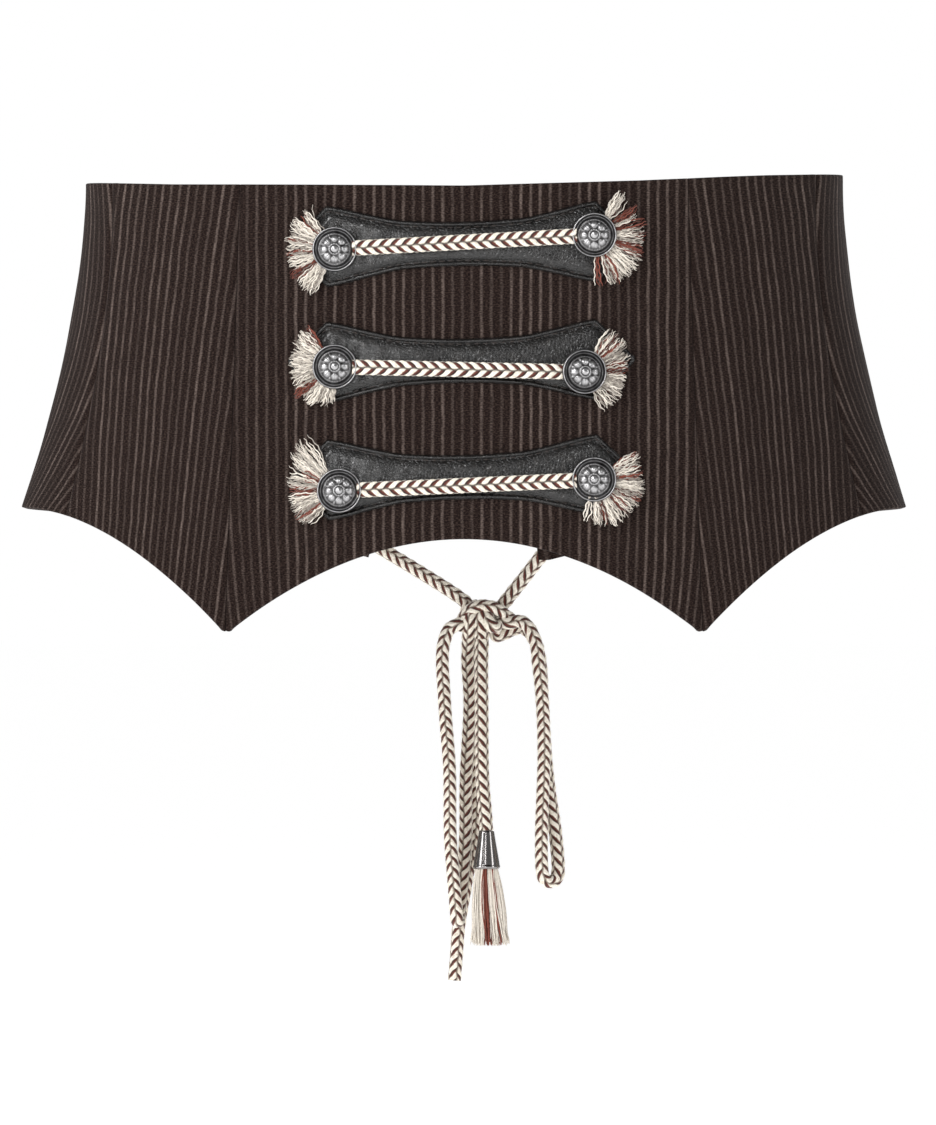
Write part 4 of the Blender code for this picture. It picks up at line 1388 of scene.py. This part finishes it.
# %% Metals
def worn_metal(name, dark, bright, rough_dark, rough_bright, attribute=None):
    made, tree, shader = new_material(name, Metallic=1.0)
    place = add(tree, "TexCoord", output=3)
    stain_scale = 420.0 if attribute else 60.0
    stain = add(tree, "TexNoise", {"Vector": place, "Scale": stain_scale, "Detail": 3.0})
    if attribute:
        polish = add(tree, "Attribute", attribute_name=attribute, output=2)
        polish = add(tree, "Math", {0: stain, 1: 0.45, 2: polish}, operation="MULTIPLY_ADD")
        polish = add(tree, "Math", {0: polish, 1: 0.22}, operation="SUBTRACT", use_clamp=True)
    else:
        polish = add(tree, "MapRange", {"Value": stain, "From Min": 0.3, "From Max": 0.65})
    shown = add(tree, "ValToRGB", {"Fac": polish}, stops=((0.0, dark), (0.75, bright)))
    rough = add(tree, "MapRange", {"Value": polish, "To Min": rough_dark, "To Max": rough_bright})
    pits = add(tree, "TexNoise", {"Vector": place, "Scale": 1500.0, "Detail": 3.0})
    bump = add(tree, "Bump", {"Strength": 0.25, "Distance": 0.0001, "Height": pits})
    tree.links.new(shown, shader["Base Color"])
    tree.links.new(rough, shader["Roughness"])
    if attribute:
        tree.links.new(bump, shader["Normal"])
    return made


CAST_PEWTER = worn_metal("cast_antique_pewter", "#232121", "#b4b3b4", 0.40, 0.24, "polish")
DARK_NICKEL = worn_metal("polished_dark_nickel", "#7c7978", "#8d8a89", 0.19, 0.15)
PLAIN_UNDERSIDE = 0.2      # share of a profile, from its start, that takes no relief


def turned(name, profile, sides, relief=None):
    """A profile of radii and heights turned round Z. The relief lifts its points."""
    profile = np.array(profile)
    rows = len(profile) - 1

    def place(u, v):
        radius, height = profile[np.round(v * rows).astype(int)].T
        angle = u * math.tau
        if relief:
            height = height + relief(radius, angle) * (v > PLAIN_UNDERSIDE)
        return np.stack([radius * np.cos(angle), radius * np.sin(angle), height], axis=-1)

    piece = grid_piece(name, sides, rows, place)
    rolled_up(piece)
    return piece


def fine_profile(rows, step):
    """A smooth, evenly stepped profile through rows of radius and height."""
    route = [np.array([radius, 0.0, height]) for radius, height in rows]
    curve = evenly(smooth_curve(route, steps_per_metre=60000), step)
    return [(max(radius, 0.0), height) for radius, _, height in curve]


# %% [markdown]
# ## Buttons
#
# A turned dish with a raised rim, a deep groove and a low dome. On the dome lies a rosette:
# eight petals with smaller leaves between them, a ring of beads, a round boss, and a twisted
# rope round them all. One button is modelled and copied to the six places, each copy with its
# own mesh. One of them leans a little about its upright diameter, as in the photograph.

# %% Buttons
BUTTON_SIDES = 128
BUTTON_PROFILE = (
    (0.88, 0.00), (0.97, 0.10), (1.00, 0.28), (1.00, 0.50), (0.985, 0.61), (0.955, 0.65),
    (0.925, 0.60), (0.895, 0.47), (0.855, 0.38), (0.82, 0.38), (0.785, 0.47), (0.755, 0.60),
    (0.72, 0.65), (0.66, 0.66), (0.50, 0.80), (0.25, 0.92), (0.00, 0.96),
)
BUTTON_STEP = 0.00015      # between two points of the profile

# Heights of the rosette's parts, and their places in shares of the button's radius
PETALS = 8
PETAL_LIFT = 0.00046
PETAL_FROM = 0.29
PETAL_LENGTH = 0.35
VEIN_WIDTH = 0.05
LEAF_LIFT = 0.00040
LEAF_RING = 0.575
LEAF_LENGTH = 0.06
BOSS_LIFT = 0.00050
BOSS_RADIUS = 0.17
BEADS = 12
BEAD_LIFT = 0.00030
BEAD_RING = 0.235
BEAD_HALF = 0.042
ROPE_STRANDS = 36
ROPE_LIFT = 0.00022
ROPE_RING = 0.685
ROPE_HALF = 0.022
ROPE_SLANT = 90            # turns the rope's strands from straight outwards
RIM_RING = 0.96
GROOVE_RING = 0.84
DOME_EDGE = 0.74


def rosette(radius, angle):
    """Height of the rosette over the dome, in metres."""
    share = radius / BUTTON_RADIUS
    reach = np.clip((share - PETAL_FROM) / PETAL_LENGTH, 0, 1)
    width = np.sin(np.pi * reach) ** 0.6
    lobe = np.clip((np.cos(PETALS * angle) + 1) / 2 - (1 - width) * 0.9, 0, 1) ** 0.5
    vein = 1 - 0.35 * np.exp(-((np.abs(np.sin(PETALS / 2 * angle))) * share / VEIN_WIDTH) ** 2)
    petals = lobe * width * vein * PETAL_LIFT
    between = np.clip((0.30 - np.abs(np.cos(PETALS / 2 * angle))) / 0.30, 0, 1) ** 0.6
    leaves = between * np.exp(-((share - LEAF_RING) / LEAF_LENGTH) ** 2) * LEAF_LIFT
    boss = np.sqrt(np.clip(1 - (share / BOSS_RADIUS) ** 2, 0, 1)) * BOSS_LIFT
    beads = np.clip(1 - ((share - BEAD_RING) / BEAD_HALF) ** 2, 0, 1)
    beads = beads * (0.35 + 0.65 * np.abs(np.cos(BEADS / 2 * angle)))
    rope = np.exp(-((share - ROPE_RING) / ROPE_HALF) ** 2)
    rope = rope * (0.55 + 0.45 * np.cos(ROPE_STRANDS * angle + share * ROPE_SLANT))
    return petals + leaves + boss + np.sqrt(beads) * BEAD_LIFT + rope * ROPE_LIFT


button_rows = fine_profile(
    [(share * BUTTON_RADIUS, height * BUTTON_HEIGHT) for share, height in BUTTON_PROFILE], BUTTON_STEP
)
button = turned("button", [(0.0, 0.0001), *button_rows], BUTTON_SIDES, rosette)
spots = np.array([vertex.co for vertex in button.data.vertices])
share = np.hypot(spots[:, 0], spots[:, 1]) / BUTTON_RADIUS
lifted = rosette(share * BUTTON_RADIUS, np.arctan2(spots[:, 1], spots[:, 0])) / PETAL_LIFT
rim = 0.70 * np.exp(-((share - RIM_RING) / 0.03) ** 2) * (spots[:, 2] > 0.5 * BUTTON_HEIGHT)
groove = 0.30 * np.exp(-((share - GROOVE_RING) / 0.06) ** 2)
polish = np.where(share > DOME_EDGE, rim + groove, 0.08 + 0.75 * lifted)
layer = button.data.attributes.new("polish", "FLOAT", "POINT")
layer.data.foreach_set("value", np.clip(polish, 0, 1).astype(np.float32))

for where, side, place, lean in BUTTON_PLACES:
    piece = put_in_scene(f"button_{where}_cast", button.data.copy())
    piece.data.transform(Euler((0, lean, 0)).to_matrix().to_4x4())
    around = around_at(*place)
    lift = TRIM_BASE + BUTTON_RADIUS * math.sin(lean)
    spot = off_skin(around, place[1], lift)
    matrix = standing(spot, np.array([1.0, 0, 0]), outward(around, place[1]))
    piece.data.transform(Matrix(matrix.tolist()))
    finish_piece(piece, CAST_PEWTER, "button_metal", "button_" + where)
print("faces of a button:", len(button.data.polygons))
bpy.data.objects.remove(button, do_unlink=True)

# %% [markdown]
# ## Loose yarn
#
# The ends of the braids are combed out into fans, and the tassel is a bundle of the same yarn.
# Every strand is a thin tapered tube with five sides along its own curve. A value for each
# strand makes some brighter than others, since no two catch the light alike.

# %% Yarn material and strands
YARN_SIDES = 5
YARN_RINGS = 14
CRIMP = 0.00022            # how far a yarn waves to each side, from its time in the braid
CRIMP_LENGTH = 0.0030


def cotton_yarn(name, dark, bright):
    made, tree, shader = new_material(name, Roughness=0.9, Sheen_Weight=0.2, Sheen_Roughness=0.5)
    place = add(tree, "TexCoord", output=3)
    fuzz = add(tree, "TexNoise", {"Vector": place, "Scale": 1100.0, "Detail": 4.0})
    shade = add(tree, "Attribute", attribute_name="shade", output=2)
    tone = add(tree, "Math", {0: fuzz, 1: 0.7, 2: shade}, operation="MULTIPLY_ADD")
    tone = add(tree, "Math", {0: tone, 1: 0.35}, operation="SUBTRACT", use_clamp=True)
    shown = add(tree, "ValToRGB", {"Fac": tone}, stops=((0.0, dark), (0.8, bright)))
    surface(tree, shader, shown, fuzz, 0.6, 0.00015)
    return made


CREAM_YARN = cotton_yarn("combed_cream_cotton", "#6a6058", "#e9e1d5")
RUST_YARN = cotton_yarn("combed_rust_cotton", "#2c120c", "#7d3d2d")


def yarn_piece(name, routes, widths, shades, rust, crimp=CRIMP):
    """One mesh of strands. Each route has a few points, and each strand its own width."""
    routes = np.array(routes)
    count, steps = routes.shape[:2]
    places = np.linspace(0, steps - 1, YARN_RINGS)
    lower = np.minimum(places.astype(int), steps - 2)
    part = (places - lower)[None, :, None]
    before = routes[:, np.maximum(lower - 1, 0)]
    here, there = routes[:, lower], routes[:, lower + 1]
    after = routes[:, np.minimum(lower + 2, steps - 1)]
    curve = 0.5 * (
        2 * here
        + (there - before) * part
        + (2 * before - 5 * here + 4 * there - after) * part ** 2
        + (3 * here - before - 3 * there + after) * part ** 3
    )
    forward = np.gradient(curve, axis=1)
    forward /= np.linalg.norm(forward, axis=-1, keepdims=True)
    out = np.array([0.0, -1.0, 0.0]) - forward * -forward[..., 1:2]
    out /= np.linalg.norm(out, axis=-1, keepdims=True)
    wide = np.cross(out, forward)
    length = np.linalg.norm(np.diff(curve, axis=1), axis=-1).sum(axis=1)[:, None]
    wave = length * np.linspace(0, 1, YARN_RINGS) / CRIMP_LENGTH + np.arange(count)[:, None] * 0.37
    curve = curve + wide * (crimp * np.sin(math.tau * wave))[..., None]
    curve = curve + out * (crimp * 0.6 * np.cos(math.tau * wave))[..., None]
    taper = np.interp(np.linspace(0, 1, YARN_RINGS), (0, 0.15, 0.75, 1), (0.8, 1, 0.9, 0.35))
    radius = (np.array(widths)[:, None] / 2 * taper)[..., None, None]
    turn = (np.arange(YARN_SIDES) / YARN_SIDES * math.tau)[None, None, :, None]
    ring = wide[:, :, None] * np.cos(turn) + out[:, :, None] * np.sin(turn)
    vertices = (curve[:, :, None] + ring * radius).reshape(-1, 3)
    faces = []
    reds = []
    ring, side = np.divmod(np.arange((YARN_RINGS - 1) * YARN_SIDES), YARN_SIDES)
    walls = tube_quads(ring, side, YARN_SIDES)
    for strand in range(count):
        start = strand * YARN_RINGS * YARN_SIDES
        last = start + (YARN_RINGS - 1) * YARN_SIDES
        faces += (walls + start).tolist()
        faces.append([start + side for side in reversed(range(YARN_SIDES))])
        faces.append([last + side for side in range(YARN_SIDES)])
        reds += [int(rust[strand])] * (len(walls) + 2)
    mesh = bpy.data.meshes.new(name)
    mesh.from_pydata(vertices.tolist(), [], faces)
    layer = mesh.attributes.new("shade", "FLOAT", "POINT")
    layer.data.foreach_set("value", np.repeat(shades, YARN_RINGS * YARN_SIDES).astype(np.float32))
    piece = put_in_scene(name, mesh)
    return piece, reds


def colour_yarn(piece, reds):
    piece.data.polygons.foreach_set("material_index", reds)
    piece.data.update()


# %% [markdown]
# ## Frayed ends
#
# Under each button the braid ends in an open fan of tufts. No two fans are alike, so each has a
# table of tufts, read from the photograph: the angle up or down from straight outwards, how far
# the tuft reaches from the button's middle, how wide it is, and whether it is cream or rust.
# Shorter yarns fill the fan below the tufts, painted darker as the shade that the tufts cast on them.

# %% Frayed ends
# button: (degrees up, reach in millimetres, half width in degrees, rust)
TUFTS = {
    "top_left": (
        (68, 18.9, 0, 0), (52, 17.6, 3, 0), (49, 17.4, 1, 1), (35, 17.6, 5, 0), (17, 17.2, 6, 0),
        (11, 16.8, 1, 1), (0, 16.5, 5, 0), (-9, 16.7, 2, 1), (-12, 16.6, 3, 0), (-21, 16.6, 5, 0),
        (-33, 18.0, 3, 1), (-58, 18.2, 10, 0), (-44, 17.0, 3, 0),
    ),
    "top_right": (
        (60, 17.5, 0, 0), (55, 18.0, 7, 0), (37, 17.9, 2, 1), (29, 16.5, 1, 0), (21, 16.5, 1, 0),
        (16, 18.5, 2, 1), (4, 17.0, 5, 0), (3, 18.5, 1, 1), (-8, 17.0, 3, 0), (-10, 17.0, 1, 1),
        (-22, 18.0, 4, 1), (-35, 18.4, 8, 0), (-50, 19.0, 9, 0), (-65, 18.6, 7, 0), (-66, 19.3, 1, 1),
        (-82, 18.6, 1, 1), (-90, 18.7, 0, 0),
    ),
    "middle_left": (
        (62, 17.0, 0, 0), (56, 17.0, 2, 1), (47, 16.9, 4, 0), (45, 16.5, 1, 1), (38, 16.5, 5, 0),
        (26, 15.2, 1, 0), (18, 15.8, 6, 0), (5, 15.8, 7, 0), (-8, 15.6, 6, 0), (-39, 17.5, 3, 1),
        (-24, 15.6, 6, 0), (-51, 16.0, 9, 0), (-85, 13.0, 5, 0), (-68, 14.5, 5, 0),
    ),
    "middle_right": (
        (55, 18.0, 3, 0), (50, 17.6, 1, 1), (44, 18.0, 3, 0), (35, 18.0, 4, 0), (39, 17.6, 1, 1),
        (23, 17.0, 4, 0), (18, 18.9, 0, 0), (17, 17.0, 1, 1), (11, 15.5, 4, 0), (5, 15.5, 2, 1),
        (-8, 15.0, 6, 0), (-19, 15.0, 6, 0), (-35, 16.0, 3, 0), (-47, 16.0, 3, 0), (-60, 15.7, 1, 0),
    ),
    "bottom_left": (
        (54, 22.5, 4, 0), (44, 21.5, 5, 0), (33, 20.0, 5, 0), (25, 15.0, 3, 1), (15, 19.0, 4, 0),
        (10, 18.0, 3, 0), (6, 17.5, 2, 1), (-2, 17.0, 2, 1), (-9, 17.5, 5, 0), (-20, 17.5, 8, 0),
        (-34, 17.5, 8, 0), (-35, 17.8, 1, 1), (-45, 16.5, 4, 0),
    ),
    "bottom_right": (
        (33, 17.5, 3, 1), (29, 17.5, 3, 0), (18, 16.7, 5, 0), (10, 17.5, 2, 1), (0, 17.7, 5, 0),
        (-13, 17.7, 7, 0), (-24, 17.6, 3, 1), (-36, 17.7, 6, 0), (-45, 16.4, 2, 1), (-60, 18.0, 8, 0),
        (-75, 17.0, 1, 1), (-86, 16.7, 6, 0), (-105, 15.3, 1, 0),
    ),
}
FAN_START = 0.0062         # from the button's middle
FILL_STRANDS = 70
FILL_REACH = (0.0115, 0.0150)
FILL_RUST = 0.22           # share of the fill that is rust
FILL_FROM = -80            # degrees
FILL_TO = 60
FILL_BEND = 6              # degrees
TUFT_BEND = 7
FILL_HEIGHTS = (0.0005, 0.0012)       # over the braid's level
TUFT_STARTS = (0.0006, 0.0016)
TUFT_HEIGHTS = (0.0012, 0.0026)
STRANDS_PER_DEGREE = 3.2   # of a tuft's half width
YARN = 0.00050             # thickness

random.seed(7)


def fan_strand(button_place, side, degrees, reach, bend, low, high):
    """Points of one strand, from under the button to the tuft's tip."""
    points = []
    heights = (low, low * 0.4 + high * 0.6, high, low * 0.6 + high * 0.4)
    for share, up in zip((0.0, 0.3, 0.65, 1.0), heights):
        radius = FAN_START + (reach - FAN_START) * share
        angle = math.radians(degrees + bend * math.sin(share * math.pi) + bend * share * 0.5)
        across = button_place[0] + side * radius * math.cos(angle)
        depth = button_place[1] - radius * math.sin(angle)
        points.append(on_front(across, depth, up))
    return points


def frayed_fan(name, tufts, button_place, side):
    routes, widths, shades, rust = [], [], [], []

    def strand(degrees, reach, bend, low, high, width, shade, red):
        routes.append(fan_strand(button_place, side, degrees, reach, bend, low, high))
        widths.append(width)
        shades.append(shade)
        rust.append(red)

    low, high = min(row[0] for row in tufts), max(row[0] for row in tufts if row[2])
    for _ in range(FILL_STRANDS):
        strand(
            random.uniform(max(low, FILL_FROM), min(high, FILL_TO)),
            random.uniform(*FILL_REACH),
            random.uniform(-FILL_BEND, FILL_BEND),
            TRIM_BASE + 0.0004,
            TRIM_BASE + random.uniform(*FILL_HEIGHTS),
            YARN,
            # painted shade: the fill yarns under the tufts take only the darker values
            random.uniform(0.0, 0.45),
            random.random() < FILL_RUST,
        )
    for degrees, reach, half_width, red in tufts:
        count = round(half_width * STRANDS_PER_DEGREE) + 2 if half_width else 1
        for _ in range(count):
            strand(
                degrees + random.uniform(-half_width, half_width),
                reach / 1000 * random.uniform(0.87, 1.02),
                random.uniform(-TUFT_BEND, TUFT_BEND),
                TRIM_BASE + random.uniform(*TUFT_STARTS),
                TRIM_BASE + random.uniform(*TUFT_HEIGHTS),
                YARN * random.uniform(0.7, 1.25),
                random.uniform(0.05, 1.0),
                red,
            )
    piece, reds = yarn_piece(name + "_yarn", routes, widths, shades, rust)
    finish_piece(piece, (CREAM_YARN, RUST_YARN), "braid", name)
    colour_yarn(piece, reds)
    return len(routes)


fan_counts = []
for where, side, place, lean in BUTTON_PLACES:
    fan_counts.append(frayed_fan("frayed_end_" + where, TUFTS[where], place, side))
print("strands in the fans:", fan_counts)

# %% [markdown]
# ## Eyelets
#
# An eyelet is a short tube pressed through the cloth, with its ends rolled out into two flat
# rings. One is turned from its closed profile and copied to the ten holes.

# %% Eyelets
EYELET_INSIDE = -CLOTH - 0.0006
EYELET_ROUND = 0.0006
EYELET_PROFILE = (
    (EYELET_BORE, EYELET_INSIDE - 0.0002),
    (EYELET_BORE, GAP + 0.0001),
    (EYELET_BORE + 0.0004, GAP + 0.0005),
    (EYELET_BORE + 0.0010, GAP + 0.00062),
    (EYELET_FLANGE - 0.0006, GAP + 0.0005),
    (EYELET_FLANGE - 0.0001, GAP + 0.0003),
    (EYELET_FLANGE, GAP + 0.0001),
    (EYELET_FLANGE - 0.0001, GAP),
    (EYELET_BARREL, GAP),
    (EYELET_BARREL, EYELET_INSIDE),
    (EYELET_FLANGE, EYELET_INSIDE),
    (EYELET_FLANGE, EYELET_INSIDE - 0.0003),
    (EYELET_FLANGE - 0.0004, EYELET_INSIDE - EYELET_ROUND),
    (EYELET_BORE + 0.0004, EYELET_INSIDE - EYELET_ROUND),
    (EYELET_BORE, EYELET_INSIDE - 0.0002),
)
eyelet = turned("eyelet", EYELET_PROFILE, 48)
for side, side_name in ((-1, "left"), (1, "right")):
    for row in range(EYELET_COUNT):
        place = eyelet_place(side, row)
        around = around_at(*place, True)
        name = f"eyelet_{side_name}_{row + 1}"
        piece = put_in_scene(name + "_ring", eyelet.data.copy())
        turned_to(piece, outward(around, place[1]), skin(around, place[1]))
        finish_piece(piece, DARK_NICKEL, "eyelet_metal", name, angle=50)
print("faces of an eyelet:", len(eyelet.data.polygons))
bpy.data.objects.remove(eyelet, do_unlink=True)

# %% [markdown]
# ## Bell and tassel
#
# The right tail ends in a small metal bell with a tassel in its mouth. The bell is one turned
# wall with a rolled lip. The tassel's strands start inside the bell and spread a little on
# their way down. Most are cream, and two bundles are rust.

# %% Bell
BELL_HEIGHT = 0.0141
# radius and height in millimetres
BELL_PROFILE = (
    (0.4, -0.02), (2.0, 0.0), (2.55, -0.25), (2.75, -0.8), (3.1, -3.0), (3.65, -6.2), (4.25, -9.6),
    (4.65, -12.0), (4.72, -12.6), (4.92, -13.1), (4.90, -13.7), (4.65, -14.05), (4.25, -14.0),
    (4.05, -13.0), (3.9, -12.0),
)
bell_top = KNOT_MIDDLE + np.array([TAIL_RIGHT[-1][0], TAIL_RIGHT[-1][1] * CORD, -0.0762 - GAP])
bell_rows = fine_profile([(radius / 1000, height / 1000) for radius, height in BELL_PROFILE], 0.0003)
bell = turned("bell_cup", [(0.0, -0.00002), *bell_rows, (0.0, -0.0115)], 64)
bell.data.transform(Matrix.Translation(bell_top))
finish_piece(bell, DARK_NICKEL, "bell_metal", "bell", angle=50)

# %% Tassel
TASSEL_LENGTH = 0.0270
TASSEL_HALF = 0.0069       # half sizes at its tip, across and back
TASSEL_DEEP = 0.0033
MOUTH_HALF = 0.0037        # and at the bell's mouth
MOUTH_DEEP = 0.0034
TASSEL_BEND = 0.0008       # how far a strand bends to each side
TASSEL_LEAN = 0.0014       # the tassel hangs a little to the right
TASSEL_STRANDS = 420

random.seed(11)
mouth = bell_top - np.array([0, 0, BELL_HEIGHT])
routes, widths, shades, rust = [], [], [], []
for _ in range(TASSEL_STRANDS):
    turn = random.uniform(0, math.tau)
    radius = math.sqrt(random.random())
    across, back = radius * math.cos(turn), radius * math.sin(turn)
    bend = random.uniform(-TASSEL_BEND, TASSEL_BEND)
    length = TASSEL_LENGTH * random.uniform(0.93, 1.03)
    route = []
    for share in (-0.06, 0.2, 0.5, 0.8, 1.0):
        below = max(share, 0)
        spread = MOUTH_HALF + (TASSEL_HALF - MOUTH_HALF) * below ** 0.8
        deep = MOUTH_DEEP + (TASSEL_DEEP - MOUTH_DEEP) * below
        sway = bend * math.sin(share * math.pi * 1.3) + TASSEL_LEAN * below
        route.append(mouth + np.array([across * spread + sway, back * deep, -length * share]))
    routes.append(route)
    widths.append(YARN * random.uniform(0.75, 1.25))
    shades.append(random.uniform(0.45, 1.0))
    rust.append(-0.32 < across < 0.04 and back < 0.4 or 0.42 < across < 0.60)
tassel, reds = yarn_piece("tassel_yarn", routes, widths, shades, rust, CRIMP / 4)
finish_piece(tassel, (CREAM_YARN, RUST_YARN), "tassel", "tassel")
colour_yarn(tassel, reds)
print("strands in the tassel:", len(routes))

# %% [markdown]
#
# The two lace halves end in the knot, the loops go back into it, one tail is cut off plainly
# and the other ends in the bell.

# %% Cords and their ends: each path is only looked up here
for name, route, facing, roll, far_end, lay in CORDS:
    path = cord_paths[name]

# %% [markdown]
# ## Light and floor
#
# The photograph has soft light from the upper left and a plain white background. A large area
# light does most of the work. Two upright strips put long reflections on the metal, and a soft
# light from behind shows the back rim. The floor and the world are equally white, so that no
# horizon shows. World rays that light the object are darker than the white that the camera sees.

# %% Light and floor
FLOOR_LEVEL = -0.33
WORLD_LIGHT = 0.28
# name, place, width and height in metres, watts
LIGHTS = (
    ("key", (-1.2, -2.0, 1.2), (0.9, 0.9), 30),
    ("strip_left", (-1.5, -0.8, 0.0), (0.4, 1.5), 15),
    ("strip_right", (1.5, -0.8, 0.0), (0.35, 1.5), 8),
    ("front_strip", (-0.5, -2.6, 0.2), (0.15, 1.2), 7),
    ("back", (0.8, 2.2, 1.0), (1.2, 1.2), 25),
)
for name, place, size, watts in LIGHTS:
    light = bpy.data.lights.new(name, "AREA")
    light.shape = "RECTANGLE"
    light.size, light.size_y = size
    light.energy = watts
    lamp = put_in_scene(name, light)
    lamp.location = place
    lamp.rotation_euler = (Vector((0, 0, -0.12)) - Vector(place)).to_track_quat("-Z", "Y").to_euler()
    lamp.visible_camera = False

world = bpy.data.worlds.new("studio")
bpy.context.scene.world = world
world.use_nodes = True
backdrop = world.node_tree.nodes["Background"]
seen = add(world.node_tree, "LightPath")
strength = add(world.node_tree, "MapRange", {"Value": seen, "To Min": WORLD_LIGHT, "To Max": 1.0})
world.node_tree.links.new(strength, backdrop.inputs["Strength"])
backdrop.inputs["Color"].default_value = (1.0, 1.0, 1.0, 1.0)

bpy.ops.object.select_all(action="DESELECT")
bpy.ops.mesh.primitive_plane_add(size=200, location=(0, 0, FLOOR_LEVEL))
floor = bpy.context.object
floor.name = "floor"
paper_values = {"Base_Color": colour("#f0f0f0"), "Emission_Color": colour("#ffffff")}
paper = new_material("white_paper_sweep", Roughness=0.9, Emission_Strength=0.75, **paper_values)[0]
floor.data.materials.append(paper)
bpy.context.scene.view_settings.view_transform = "Standard"
